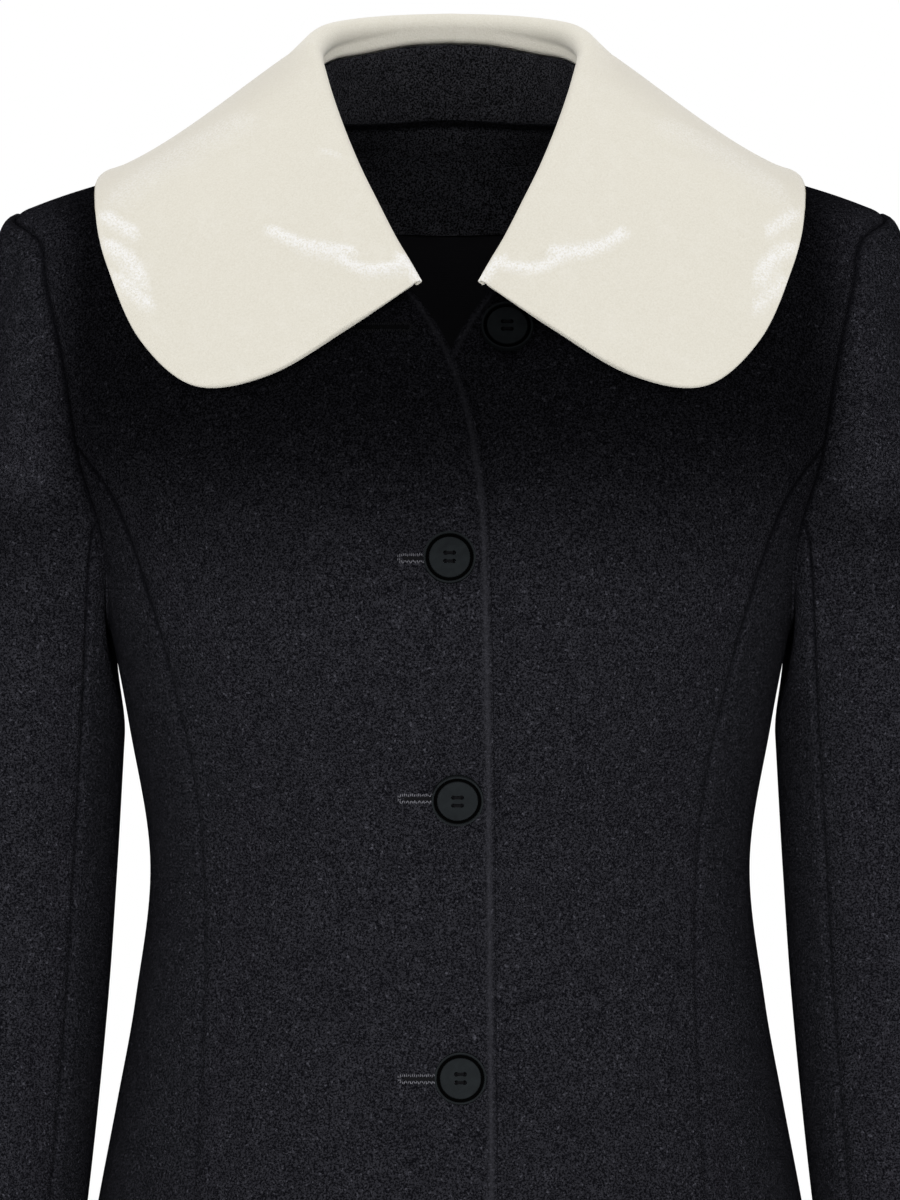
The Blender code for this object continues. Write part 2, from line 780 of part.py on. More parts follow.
def build_coat():
    for old in list(bpy.data.objects):
        bpy.data.objects.remove(old, do_unlink=True)
    coat = bpy.data.collections.new("coat")
    cutters = bpy.data.collections.new("cutters")
    bpy.context.scene.collection.children.link(coat)
    bpy.context.scene.collection.children.link(cutters)
    wool = material("black_wool", (0.009, 0.009, 0.011), 0.95)
    velvet = material("ivory_velvet", (0.80, 0.76, 0.66), 0.85)
    lining = material("black_lining", (0.006, 0.006, 0.007), 0.55)
    horn = material("dark_button", (0.018, 0.020, 0.021), 0.35)

    for side, hand in ((-1, "right"), (1, "left")):
        lift = tucked_under if side > 0 else lambda x: 0.0
        body_piece("front_" + hand, straight(front_rows(), FRONT_COLUMNS), side, wool, coat, lift=lift)
        side_front = straight(side_rows("front"), SIDE_FRONT_COLUMNS)
        side_back = straight(side_rows("back"), SIDE_BACK_COLUMNS)
        body_piece("side_front_" + hand, side_front, side, wool, coat)
        body_piece("side_back_" + hand, side_back, side, wool, coat)
        body_piece("back_" + hand, straight(back_rows(), BACK_COLUMNS), side, wool, coat)
        lining_piece("lining_back_" + hand, side, lining, coat)
        turns = sleeve_turns()
        front_seam = len(armhole_steps()) - SIDE_TOP_ROWS
        back_seam = len(turns) - 1 - front_seam
        under = turns[front_seam : back_seam + 1]
        upper = [turn - 360 for turn in turns[back_seam:-1]] + turns[: front_seam + 1]
        sleeve_panel("sleeve_upper_" + hand, upper, side, wool, coat)
        sleeve_panel("sleeve_under_" + hand, under, side, wool, coat)

    collar_piece(velvet, coat)
    stand_piece(wool, coat)
    facing_piece(wool, coat)
    for entry in BUTTONS:
        button(entry, horn, coat, cutters)


build_coat()
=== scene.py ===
"""Dresses the fitted wool coat: milled wool panels, a velvet collar, sewing, buttons and a pale studio."""

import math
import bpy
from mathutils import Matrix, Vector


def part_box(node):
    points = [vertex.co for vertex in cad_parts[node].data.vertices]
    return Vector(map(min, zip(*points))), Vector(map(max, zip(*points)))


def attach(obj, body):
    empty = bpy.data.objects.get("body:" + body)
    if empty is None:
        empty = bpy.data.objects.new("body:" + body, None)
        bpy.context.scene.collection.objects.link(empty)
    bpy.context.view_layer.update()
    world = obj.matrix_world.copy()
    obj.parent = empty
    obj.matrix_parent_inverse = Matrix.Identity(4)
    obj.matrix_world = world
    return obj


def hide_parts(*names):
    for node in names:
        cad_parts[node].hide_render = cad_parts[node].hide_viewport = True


bl_info = {
    "name": "Fitted wool coat",
    "version": (1, 0, 0),
    "blender": (4, 5, 0),
    "location": "View3D > Sidebar > Coat",
    "description": "Builds the cloth, sewing, buttons and studio of a fitted wool coat",
    "category": "Object",
}

from collections import namedtuple

import bmesh
import bpy
import numpy as np
from mathutils import Matrix, Vector

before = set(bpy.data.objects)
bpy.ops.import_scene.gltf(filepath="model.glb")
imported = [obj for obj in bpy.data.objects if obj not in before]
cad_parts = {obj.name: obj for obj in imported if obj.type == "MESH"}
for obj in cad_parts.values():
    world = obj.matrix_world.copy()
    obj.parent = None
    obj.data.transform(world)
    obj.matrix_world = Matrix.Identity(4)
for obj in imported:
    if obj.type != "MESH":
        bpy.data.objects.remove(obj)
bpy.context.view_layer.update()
MM = 0.001

# Gaps and heights of the coat, in metres from the shoulder points
REST_GAP = 0.0008
SLEEVE_GAP = 0.0002
INSIDE_GAP = 0.0041
STAND_WALL = 0.002
HEM = -0.827
UNDERARM = -0.205
SEAM_TOP = -0.118
COLLAR_END = -0.048
NECK_POINT = 0.045
NAPE = 0.050
FACING_DEPTH = 0.054
FACING_LIFT = 0.028
FACING_LAP = 0.004
FACING_TURN = 86.0
FACING_CURVE = 1.4
FACING_WALL = 0.0015
# Share of the facing's height above which it is darkened with painted shade
FACING_SHADE_FROM = 0.95
LINING_HEM = -0.800
LINING_SHARE = 0.625
LINING_WALL = 0.001
LINING_BEND = 0.86
NUDGE = 1e-4

# Horizontal sections of the body, a rounded ellipse at each height
Section = namedtuple("Section", "height half_width front back power")
BODY = (
    Section(-0.827, 0.2200, 0.165, 0.170, 2.10),
    Section(-0.660, 0.2010, 0.148, 0.154, 2.20),
    Section(-0.560, 0.1870, 0.138, 0.142, 2.30),
    Section(-0.494, 0.1755, 0.130, 0.132, 2.35),
    Section(-0.444, 0.1660, 0.122, 0.120, 2.35),
    Section(-0.394, 0.1570, 0.115, 0.106, 2.35),
    Section(-0.325, 0.1495, 0.110, 0.092, 2.30),
    Section(-0.256, 0.1600, 0.127, 0.101, 2.40),
    Section(-0.205, 0.1700, 0.137, 0.110, 2.50),
    Section(-0.167, 0.1800, 0.134, 0.115, 2.50),
    Section(-0.118, 0.2030, 0.121, 0.118, 2.40),
    Section(-0.055, 0.2220, 0.097, 0.116, 2.20),
    Section(-0.020, 0.2240, 0.081, 0.110, 2.10),
    Section(0.000, 0.2130, 0.071, 0.105, 2.00),
    Section(0.030, 0.1190, 0.052, 0.093, 2.00),
    Section(0.045, 0.0720, 0.040, 0.084, 2.00),
    Section(0.052, 0.0600, 0.034, 0.080, 2.00),
)

# Front edge and neckline: how far each lies to its own side of the centre, below zero where it overlaps
Edge = namedtuple("Edge", "height inset")
FRONT_EDGE = (
    Edge(-0.827, -0.0250),
    Edge(-0.320, -0.0220),
    Edge(-0.190, -0.0200),
    Edge(-0.145, -0.0180),
    Edge(-0.112, -0.0132),
    Edge(-0.084, -0.0055),
    Edge(-0.064, 0.0040),
    Edge(-0.048, 0.0146),
    Edge(-0.022, 0.0345),
    Edge(0.004, 0.0515),
    Edge(0.026, 0.0640),
    Edge(0.045, 0.0720),
)
OVERLAP = 0.027
OVERLAP_FADE = 0.030
TUCK = 0.0033

# Seams that run from the hem to the armhole, as half widths seen from the front and from the back
Seam = namedtuple("Seam", "height half_width")
FRONT_SEAM = (
    Seam(-0.827, 0.1520),
    Seam(-0.475, 0.1245),
    Seam(-0.381, 0.1205),
    Seam(-0.314, 0.1220),
    Seam(-0.275, 0.1266),
    Seam(-0.237, 0.1347),
    Seam(-0.200, 0.1444),
    Seam(-0.146, 0.1640),
)
BACK_SEAM = (
    Seam(-0.827, 0.1250),
    Seam(-0.475, 0.0980),
    Seam(-0.325, 0.0860),
    Seam(-0.237, 0.0980),
    Seam(-0.160, 0.1400),
)
# The share of painted shade that the seam valleys keep low down, and the heights between which it grows to
# full
SEAM_FAINT = 0.25
SEAM_FADE = (-0.27, -0.19)
LAPEL_SHARE = 0.4
SIDE_TIP = 0.997

# How the cloth is worked, in metres or as shares: a seam's valley between its raised turnings and the width
# of its painted shade, the swell of a front edge with the dip behind it and the width of the painted
# highlight along it, and how far creases keep from the edges
TURNING_SHARE = 0.15
TURNING_PLACE = 0.0055
TURNING_WIDTH = 0.0028
# Width of a seam valley's painted shade, as a share of the valley's width
SHADE_SHARE = 0.8
EDGE_ROUND = 0.9
SWELL_RISE = 0.0006
SWELL_WIDTH = 0.0016
DIP_DEPTH = 0.0005
DIP_WIDTH = 0.0013
# Width of the painted highlight that makes the nap paler along the swell of a front edge
EDGE_HIGHLIGHT_WIDTH = 0.0014
FOLD_START = 0.004
FOLD_FADE = 0.020
SLEEVE_FOLD_FADE = 0.015
SLEEVE_EASE = 0.012
CREASE_FADE = 0.8
FACING_GAIN = 2.5

# The armhole from the shoulder point to under the arm, at equal steps
Armhole = namedtuple("Armhole", "height front_angle back_angle")
ARMHOLE = (
    Armhole(0.000, 90.0, 90.0),
    Armhole(-0.014, 66.5, 113.5),
    Armhole(-0.040, 61.5, 118.5),
    Armhole(-0.070, 60.0, 120.5),
    Armhole(-0.100, 61.0, 120.0),
    Armhole(-0.130, 64.2, 117.0),
    Armhole(-0.163, 68.6, 112.5),
    Armhole(-0.193, 77.0, 103.5),
    Armhole(-0.205, 90.0, 90.0),
)

# Sleeve rings below the cap, each leaning between its outer and its inner point
Ring = namedtuple("Ring", "outer_x outer_z inner_x inner_z middle_y half_depth")
SLEEVE = (
    Ring(0.2560, -0.215, 0.1628, -0.262, 0.002, 0.0660),
    Ring(0.2610, -0.300, 0.1667, -0.330, 0.003, 0.0620),
    Ring(0.2635, -0.390, 0.1715, -0.400, 0.000, 0.0570),
    Ring(0.2640, -0.490, 0.1800, -0.490, -0.014, 0.0520),
    Ring(0.2620, -0.598, 0.1915, -0.588, -0.040, 0.0460),
)
CAP_LEAVE = np.array((0.045, 0.0, 0.020))
UNDERARM_DROP = np.array((0.006, 0.0, -0.050))
CAP_FORWARD = 0.010

# The collar from the centre back to its front point, at equal steps
Collar = namedtuple("Collar", "crest_x crest_y crest_z edge_x edge_z roll band lift neck")
COLLAR = (
    Collar(0.0000, 0.080, 0.1070, 0.0000, -0.0450, 0.0070, 0.007, 0.0042, 0.000),
    Collar(0.0270, 0.075, 0.1055, 0.0660, -0.0420, 0.0070, 0.007, 0.0044, 0.213),
    Collar(0.0470, 0.058, 0.1010, 0.1220, -0.0290, 0.0070, 0.007, 0.0052, 0.405),
    Collar(0.0590, 0.033, 0.0940, 0.1580, -0.0060, 0.0066, 0.006, 0.0050, 0.602),
    Collar(0.0640, 0.007, 0.0825, 0.1740, 0.0124, 0.0064, 0.005, 0.0056, 0.779),
    Collar(0.0605, -0.017, 0.0650, 0.1730, -0.0080, 0.0062, 0.005, 0.0050, 1.000),
    Collar(0.0535, -0.040, 0.0430, 0.1665, -0.0320, 0.0060, 0.004, 0.0048, 1.120),
    Collar(0.0445, -0.062, 0.0200, 0.1500, -0.0680, 0.0056, 0.004, 0.0042, 1.334),
    Collar(0.0350, -0.078, 0.0000, 0.1230, -0.0912, 0.0052, 0.003, 0.0042, 1.547),
    Collar(0.0260, -0.087, -0.0180, 0.0880, -0.0870, 0.0048, 0.002, 0.0050, 1.725),
    Collar(0.0190, -0.092, -0.0300, 0.0510, -0.0660, 0.0044, 0.002, 0.0066, 1.852),
    Collar(0.0134, -0.097, -0.0400, 0.0152, -0.0424, 0.0015, 0.001, 0.0066, 1.960),
)
SHOULDER_STEP = 4 / 11
STAND_END = 0.5
STAND_SEAM = 0.6
CREST_NUDGE = 0.01
FALL_START = 0.25
FALL_END = 0.33
SHOULDER_SAG = 0.012
SAG_START = 0.6
SAG_SPREAD = 0.13
FULL_ROLL = 0.004
SETTLE_SPREAD = 0.10
SETTLE_REACH = 0.009
SETTLE_REST = 0.0012
BAND_SHARE = 0.10
ROLL_SHARE = 0.40

# The collar's puffed edge with its waves, the sunk line behind it, the painted sheen highlight where the pile
# is crushed and the painted shade over the shoulder
PUFF_RISE = 0.0006
PUFF_WAVE = 0.0002
PUFF_PLACE = 0.004
PUFF_WIDTH = 0.003
EDGE_WAVES = ((1.0, 47, 0.0), (0.7, 83, 1.3), (0.5, 131, 0.4))
SINK_DEPTH = 0.0002
SINK_PLACE = 0.0105
SINK_WIDTH = 0.0035
POINT_START = 0.006
POINT_FADE = 0.03
THIN_POINT = 0.3
RIM_START = 0.001
RIM_FADE = 0.010
CREASE_START = 0.7
CREASE_REACH = 0.25
INNER_FOLLOWS = 0.5
# How far the painted sheen of a crushed stroke spreads above and below it, as shares of its width
CRUSH_SHEEN_ABOVE = 0.7
CRUSH_SHEEN_BELOW = 1.4
# Where the painted shade greys the pile over the shoulder: its step, spread and most, and where it starts and
# how far it reaches
SHOULDER_SHADE_STEP = 0.38
SHOULDER_SHADE_SPREAD = 0.07
SHOULDER_SHADE_MOST = 0.5
SHOULDER_SHADE_START = 0.8
SHOULDER_SHADE_REACH = 0.2

# Buttons, each with its place on its own front, and the buttonholes of the right front in millimetres
Button = namedtuple("Button", "name x height side")
BUTTONS = (
    Button("button_1", 0.0276, -0.0620, 1),
    Button("button_2", 0.0002, -0.1740, -1),
    Button("button_3", -0.0036, -0.2895, -1),
    Button("button_4", -0.0050, -0.4240, -1),
)
Buttonhole = namedtuple("Buttonhole", "name outer inner height")
BUTTONHOLES = (
    Buttonhole("buttonhole_1", 48.0, 20.0, -62.0),
    Buttonhole("buttonhole_2", 24.0, -2.0, -174.0),
    Buttonhole("buttonhole_3", 24.0, -5.0, -289.5),
    Buttonhole("buttonhole_4", 24.0, -6.0, -424.0),
)
# Buttonholes above this height, in millimetres, take a darker copy of the thread: painted shade under the
# collar
SHADED_FROM = -100.0

# Buttonhole stitches in metres: each arches over the wool, with reaches and leans that vary by hand
STITCH_ARCH = np.array((-0.0006, 0.0002, 0.0004, 0.0002, -0.0006))[:, None]
STITCH_POINTS = len(STITCH_ARCH)
STITCH_SPACING = 0.00095
STITCH_RADIUS = 0.00026
STITCH_FOOT = 0.0009
STITCH_HEAD = 0.0024
STITCH_LEAN = 0.0004
FOOT_VARIES = 0.0002
HEAD_VARIES = 0.0003
FOOT_PACE = 2.3
HEAD_PACE = 1.7
LEAN_PACE = 3.1
EYE = 0.0022
EYE_SHARE = 0.4
EYE_REACH = (0.0012, 0.0030)
EYE_TURN = 2.3
EYE_STITCHES = 14
BAR_SPACING = 0.0009
BAR_STARTS = (-0.0012, 0.0004)
BAR_LENGTH = 0.0012
SLIT_COLUMNS = 30
SLIT_ROWS = 4
SLIT_END = 0.002
SLIT_HALF = 0.0008
SLIT_RISE = 0.0002
SLIT_SINK = 0.0004

# A button in metres: the steps turned into its face from the rim inward, as width and rise, its holes and
# channels with the marks that darken them, and the thread in them; then how steep and how flat count as such,
# and how many sides the round forms have
TURNED_STEPS = ((0.0008, 0.0), (0.0005, -0.0014), (0.0011, 0.0), (0.0005, 0.0011))
BUTTON_BEVEL = 0.0002
HOLE_RADIUS = 0.0011
HOLE_REACH = 0.02
CHANNEL_SINK = 0.0004
CHANNEL_HALF = 0.00075
CHANNEL_DEPTH = 0.0006
HOLLOW_DEPTH = 0.0006
HOLLOW_RIM = 0.001
STRANDS = (-0.0004, 0.0, 0.0004)
STRAND_POINTS = 9
STRAND_SINK = 0.0003
STRAND_ARCH = 0.0005
STRAND_DIVE = 0.0012
BUNDLE_RADIUS = 0.001
BUNDLE_TOP = 0.0012
BUNDLE_TAPER = 0.0003
THREAD_TAPER = 0.55
STEEP = 0.8
FLAT = 0.99
BUTTON_SIDES = 72
HOLE_SIDES = 20
FLOOR_SIDES = 96

# Gridded softboxes: the turn round the coat, the place aside and the height of the middle, the size, the
# spread and the power. The first four light the coat below the collar, and the last two its shoulders
GridSoftbox = namedtuple("GridSoftbox", "name turn aside middle width height spread power")
GRID_SOFTBOXES = (
    GridSoftbox("front_softbox", 0, 0.0, -0.485, 1.0, 0.66, 6, 8.0),
    GridSoftbox("right_softbox", -148, 0.0, -0.485, 1.0, 0.66, 6, 3.2),
    GridSoftbox("left_softbox", 148, 0.0, -0.485, 1.0, 0.66, 6, 3.2),
    GridSoftbox("back_softbox", 180, 0.0, -0.455, 1.0, 0.72, 6, 5.0),
    GridSoftbox("right_shoulder_softbox", 0, -0.222, -0.06, 0.06, 0.17, 1.5, 0.12),
    GridSoftbox("left_shoulder_softbox", 0, 0.222, -0.06, 0.06, 0.17, 1.5, 0.12),
)

# Creases in millimetres, seen from the front or the back: two ends, how far the middle bows aside, the width,
# and how far it rises, below zero for a trough
Crease = namedtuple("Crease", "view x1 z1 x2 z2 bow width rise")
BODY_CREASES = (
    Crease("front", -62, -262, -132, -330, 6, 9, -1.3),
    Crease("front", -40, -352, -128, -318, -5, 7, -1.1),
    Crease("front", -30, -395, -118, -372, 4, 8, -0.8),
    Crease("front", 52, -272, 134, -336, -7, 8, -1.2),
    Crease("front", 44, -366, 126, -330, 5, 8, -1.2),
    Crease("front", 36, -412, 112, -396, -3, 9, -0.7),
    Crease("front", -150, -150, -96, -214, 5, 10, -1.1),
    Crease("front", 152, -144, 104, -206, -6, 11, -1.0),
    Crease("front", -96, -520, -128, -815, 9, 22, 3.0),
    Crease("front", 104, -540, 122, -818, -8, 24, 2.6),
    Crease("back", -20, -300, -96, -338, -6, 9, -1.6),
    Crease("back", 24, -318, 104, -346, 7, 8, -1.4),
    Crease("back", -34, -352, -112, -372, 5, 9, -1.2),
    Crease("back", 18, -282, 88, -300, -4, 8, -1.0),
    Crease("back", -60, -120, -128, -176, 8, 12, -1.3),
    Crease("back", 66, -112, 132, -182, -7, 12, -1.2),
    Crease("back", -76, -500, -104, -812, -10, 24, 3.4),
    Crease("back", 82, -520, 96, -816, 11, 22, 3.2),
    Crease("back", 2, -560, -10, -820, 6, 26, -2.4),
)
SLEEVE_CREASES = (
    Crease("front", -176, -352, -238, -330, -6, 7, -1.8),
    Crease("front", -180, -384, -244, -372, 5, 6, -1.5),
    Crease("front", -188, -416, -236, -420, -4, 6, -1.1),
    Crease("front", -200, -236, -244, -286, 6, 9, -1.4),
    Crease("front", 176, -344, 242, -336, 6, 7, -1.7),
    Crease("front", 182, -392, 240, -378, -5, 6, -1.6),
    Crease("front", 192, -430, 238, -424, 4, 6, -1.0),
    Crease("front", 198, -228, 246, -280, -7, 9, -1.5),
    Crease("back", -186, -300, -250, -352, 7, 9, -1.6),
    Crease("back", -190, -420, -252, -396, -6, 8, -1.4),
    Crease("back", 184, -312, 252, -346, -6, 9, -1.5),
    Crease("back", 190, -408, 250, -402, 5, 8, -1.3),
    Crease("back", -194, -170, -232, -250, -8, 12, -1.5),
    Crease("back", 196, -176, 232, -244, 8, 12, -1.4),
)
COLLAR_CREASES = (
    Crease("front", -86, -14, -68, -22, -1, 4, 1.3),
    Crease("front", -74, -21, -44, -26, 2, 3.5, 1.7),
    Crease("front", -50, -25, -40, -36, 1, 3, 1.4),
    Crease("front", -44, -33, -20, -29, -2, 3.5, 1.5),
    Crease("front", -26, -29, -13, -41, 2, 3, 1.2),
    Crease("front", -78, -33, -36, -42, 3, 8, -1.3),
    Crease("front", -62, -44, -42, -46, 1, 3, 0.8),
    Crease("front", -60, 34, -54, 24, 1, 2.5, 0.9),
    Crease("front", -160, -4, -120, 18, -6, 12, -1.6),
    Crease("front", -150, -40, -112, -20, 5, 10, -1.2),
    Crease("front", 84, -13, 60, -23, 1, 4, 1.1),
    Crease("front", 66, -22, 38, -27, -2, 3.5, 1.4),
    Crease("front", 44, -26, 22, -34, 2, 3.5, 1.2),
    Crease("front", 76, -36, 40, -42, -3, 8, -1.1),
    Crease("front", 156, -8, 118, 14, 6, 12, -1.5),
    Crease("front", 148, -44, 108, -24, -5, 11, -1.3),
    Crease("back", -40, 40, -96, 4, 6, 14, -1.2),
    Crease("back", 34, 52, 90, 10, -5, 13, -1.1),
    Crease("back", -10, 60, -18, -20, 4, 16, -0.9),
)

# Crushed pile on the collar, painted white as a sheen highlight: strokes in millimetres, seen from the front
CrushSheen = namedtuple("CrushSheen", "x1 z1 x2 z2 bow width amount")
CRUSH_SHEENS = (
    CrushSheen(-86, -13, -48, -24, -3, 3.0, 1.0),
    CrushSheen(-70, -21, -50, -25, 0, 4.5, 0.7),
    CrushSheen(-53, -27, -21, -28, -6, 2.8, 1.0),
    CrushSheen(-40, -33, -24, -33, 0, 4.0, 0.6),
    CrushSheen(-23, -28, -14, -40, 1, 3.0, 1.0),
    CrushSheen(-62, 27, -54, 24, 0, 1.6, 0.5),
    CrushSheen(-168, -5, -155, -13, 0, 3.6, 0.9),
    CrushSheen(-165, -20, -150, -37, 2, 4.6, 0.9),
    CrushSheen(-161, -36, -147, -48, 0, 4.2, 0.8),
    CrushSheen(-164, 6, -104, 44, 3, 9.0, 0.34),
    CrushSheen(84, -14, 50, -24, 4, 3.0, 1.0),
    CrushSheen(68, -22, 52, -25, 0, 4.2, 0.6),
    CrushSheen(55, -26, 22, -29, 5, 2.8, 0.9),
    CrushSheen(24, -29, 15, -39, -1, 3.0, 0.9),
    CrushSheen(168, -4, 156, -12, 0, 3.4, 0.8),
    CrushSheen(165, -21, 151, -35, -2, 4.4, 0.9),
    CrushSheen(162, -38, 149, -50, 0, 4.0, 0.7),
    CrushSheen(162, 8, 108, 42, -3, 8.0, 0.32),
)

# How finely the cloth is laid out: distances from an edge in millimetres, and spacings in metres
NEAR_SEAM = np.array((0.0, 0.6, 1.4, 2.2, 3.2, 4.5, 6.2, 8.4, 11.2)) * MM
NEAR_EDGE = np.array((0.0, 0.2, 0.55, 1.0, 1.6, 2.4, 3.1, 3.6, 4.0, 4.4, 4.9, 5.8, 7.2, 9.4, 12.4)) * MM
ROW_SPACING = 0.0045
COLUMN_SPACING = 0.0045
FINE_STEPS = 97
NEAR_MOST = 0.8
ARMHOLE_REACH = 0.15
UPPER_SPACING = 0.028
TIP_ROWS = 26
HEM_ROWS = 6
SLEEVE_STEPS = np.concatenate((
    np.array((0, 0.006, 0.013, 0.022, 0.034, 0.05, 0.07)),
    np.linspace(0.09, 1, 28, endpoint=False),
    np.linspace(1, 1.985, 78, endpoint=False),
    np.array((1.985, 1.99, 1.994, 1.997, 1.999, 2.0)),
))[:, None]
COLLAR_NEAR = np.array((0.016, 0.011, 0.007, 0.004, 0.002, 0))
COLLAR_HALF = np.concatenate((np.linspace(0, 0.98, 118), 1 - COLLAR_NEAR))
COLLAR_SHARES = np.concatenate((
    np.linspace(0, BAND_SHARE, 5, endpoint=False),
    np.linspace(BAND_SHARE, ROLL_SHARE, 18, endpoint=False),
    np.linspace(ROLL_SHARE, 0.975, 56, endpoint=False),
    np.array((0.975, 0.98, 0.985, 0.989, 0.993, 0.996, 0.998, 1.0)),
))[:, None]
STAND_HALF = np.linspace(0, STAND_END, 60)
STAND_SHARES = np.linspace(0, 1, 17)[:, None]
FACING_POSITIONS = np.linspace(-1, 1, 101)[None, :]
FACING_SHARES = np.linspace(0, 1, 24)[:, None]
LINING_SHARES = np.linspace(0, LINING_SHARE, 52)[None, :]
LINING_RISES = np.concatenate((
    np.linspace(0, LINING_BEND, 90, endpoint=False), np.linspace(LINING_BEND, 1, 40)
))[:, None]

# The facing's folded foot and sunk head, as rise, place and width along its height; the lining's pleats, as
# rise in metres and place and width in degrees from the centre back, and its waves
FACING_FOLDS = ((0.0008, 0.0, 0.05), (-0.0005, 1.0, 0.06))
PLEATS = ((0.0011, 0.0, 1.6), (0.0005, 7.0, 3.0))
WAVE_RISE = 0.0004
WAVE_ACROSS = 0.7
WAVE_ALONG = 3
WAVE_TOP = 0.9
WAVE_FADE = 4

# Edges sharper than these angles in degrees stay sharp
CLOTH_SHARP = 50
THREAD_SHARP = 60
BUTTON_SHARP = 40

# Materials already made, so that several pieces share them
MADE = {}


def blend(low, high, share):
    return low + (high - low) * share


def ease(share):
    """A smooth step from 0 to 1."""
    share = np.clip(share, 0.0, 1.0)
    return share * share * (3 - 2 * share)


def hump(distance, middle, width):
    """A smooth hump, 1 at its middle."""
    return np.exp(-(((distance - middle) / width) ** 2))


def humps(distance, table):
    """The sum of several humps, each given as its rise, middle and width."""
    return sum(rise * hump(distance, middle, width) for rise, middle, width in table)


def unit(vectors):
    return vectors / np.maximum(np.linalg.norm(vectors, axis=-1, keepdims=True), 1e-12)


def curve(keys, values, at):
    """A smooth curve through values at rising keys, straight beyond its ends."""
    last = len(keys) - 1
    low = np.maximum(np.arange(last + 1) - 1, 0)
    high = np.minimum(np.arange(last + 1) + 1, last)
    slopes = (values[high] - values[low]) / (keys[high] - keys[low])
    k = np.clip(np.searchsorted(keys, at, side="right") - 1, 0, last - 1)
    span = keys[k + 1] - keys[k]
    t = np.clip((at - keys[k]) / span, 0.0, 1.0)
    start = values[k] * (1 + 2 * t) * (1 - t) ** 2 + slopes[k] * span * t * (1 - t) ** 2
    end = values[k + 1] * t * t * (3 - 2 * t) - slopes[k + 1] * span * t * t * (1 - t)
    before = slopes[0] * np.minimum(at - keys[0], 0.0)
    after = slopes[last] * np.maximum(at - keys[last], 0.0)
    return start + end + before + after


def column(table, name):
    return np.array([getattr(row, name) for row in table])


def by_height(table, name, height):
    """A column of a table whose rows rise in height."""
    return curve(column(table, "height"), column(table, name), np.asarray(height, float))


def by_step(table, name, step):
    """A column of a table whose rows stand at equal steps from 0 to 1."""
    return curve(np.linspace(0, 1, len(table)), column(table, name), np.asarray(step, float))


def signed_power(value, power):
    return np.sign(value) * np.abs(value) ** power


def body_point(angle, height):
    """The body's outer face, with the angle in degrees from the centre front round the wearer's left."""
    angle, height = np.broadcast_arrays(np.asarray(angle, float), np.asarray(height, float))
    turn = np.radians(angle)
    shape = 2 / by_height(BODY, "power", height)
    faces_front = np.cos(turn) >= 0
    depth = np.where(faces_front, by_height(BODY, "front", height), by_height(BODY, "back", height))
    x = by_height(BODY, "half_width", height) * signed_power(np.sin(turn), shape)
    y = -depth * signed_power(np.cos(turn), shape)
    return np.stack((x, y, height), axis=-1)


def body_normal(angle, height):
    across = body_point(angle + 1, height) - body_point(angle - 1, height)
    up = body_point(angle, height + NUDGE) - body_point(angle, height - NUDGE)
    return unit(np.cross(across, up))


def front_angle(half_width, height):
    """The angle at which the front has this half width."""
    share = half_width / by_height(BODY, "half_width", height)
    share = signed_power(share, by_height(BODY, "power", height) / 2)
    return np.degrees(np.arcsin(np.clip(share, -1.0, 1.0)))


def armhole(step, facing):
    """Angle and height on the armhole, from 0 at the shoulder point to 1 under the arm."""
    return by_step(ARMHOLE, facing + "_angle", step), by_step(ARMHOLE, "height", step)


STEPS = np.linspace(0, 1, 2001)
SEAM_STEP = float(np.interp(-SEAM_TOP, -by_step(ARMHOLE, "height", STEPS), STEPS))
SLEEVE_SEAM = 180 * blend(SEAM_STEP, 1.0, 1 / 3)


def seam_place(facing, height):
    """Angle and height on the front or the back seam, which ends on the armhole."""
    seam = FRONT_SEAM if facing == "front" else BACK_SEAM
    end = body_point(*armhole(SEAM_STEP, facing))[0]
    angle = front_angle(by_height(seam + (Seam(SEAM_TOP, end),), "half_width", height), height)
    return np.stack((angle if facing == "front" else 180 - angle, height), axis=-1)


def edge_place(height):
    """Angle and height on the front edge and its neckline."""
    angle = front_angle(by_height(FRONT_EDGE, "inset", height), height)
    return np.stack((np.where(height >= NECK_POINT - 1e-9, 90.0, angle), height), axis=-1)


def armhole_place(step, facing):
    return np.stack(armhole(step, facing), axis=-1)


def back_neck_height(share):
    """Height of the back's neckline, from the nape to the neck point."""
    return blend(NAPE, NECK_POINT, ease(share))


def even(low, high, spacing):
    """Evenly spaced values from low up to, and without, high."""
    return np.linspace(low, high, max(2, round(abs(high - low) / spacing)), endpoint=False)


def level_heights(top):
    near_hem = HEM + NEAR_SEAM[:HEM_ROWS]
    return np.concatenate((near_hem, even(HEM + NEAR_SEAM[HEM_ROWS], top, ROW_SPACING)))


def upper_shares():
    """Shares of the way up the armhole above the seam, closer together towards the shoulder seam."""
    near = NEAR_SEAM / ARMHOLE_REACH
    return np.concatenate((even(0, 1 - near[-1], UPPER_SPACING), 1 - near[::-1]))


def front_rows():
    """Rows from the front edge and neckline to the front seam and armhole, each as its two ends."""
    heights = level_heights(SEAM_TOP)
    share = upper_shares()
    lapel = blend(SEAM_TOP, COLLAR_END, share / LAPEL_SHARE)
    neck = blend(COLLAR_END, NECK_POINT, (share - LAPEL_SHARE) / (1 - LAPEL_SHARE))
    starts = edge_place(np.where(share < LAPEL_SHARE, lapel, neck))
    stops = armhole_place(SEAM_STEP * (1 - share), "front")
    return (
        np.concatenate((edge_place(heights), starts)),
        np.concatenate((seam_place("front", heights), stops)),
    )


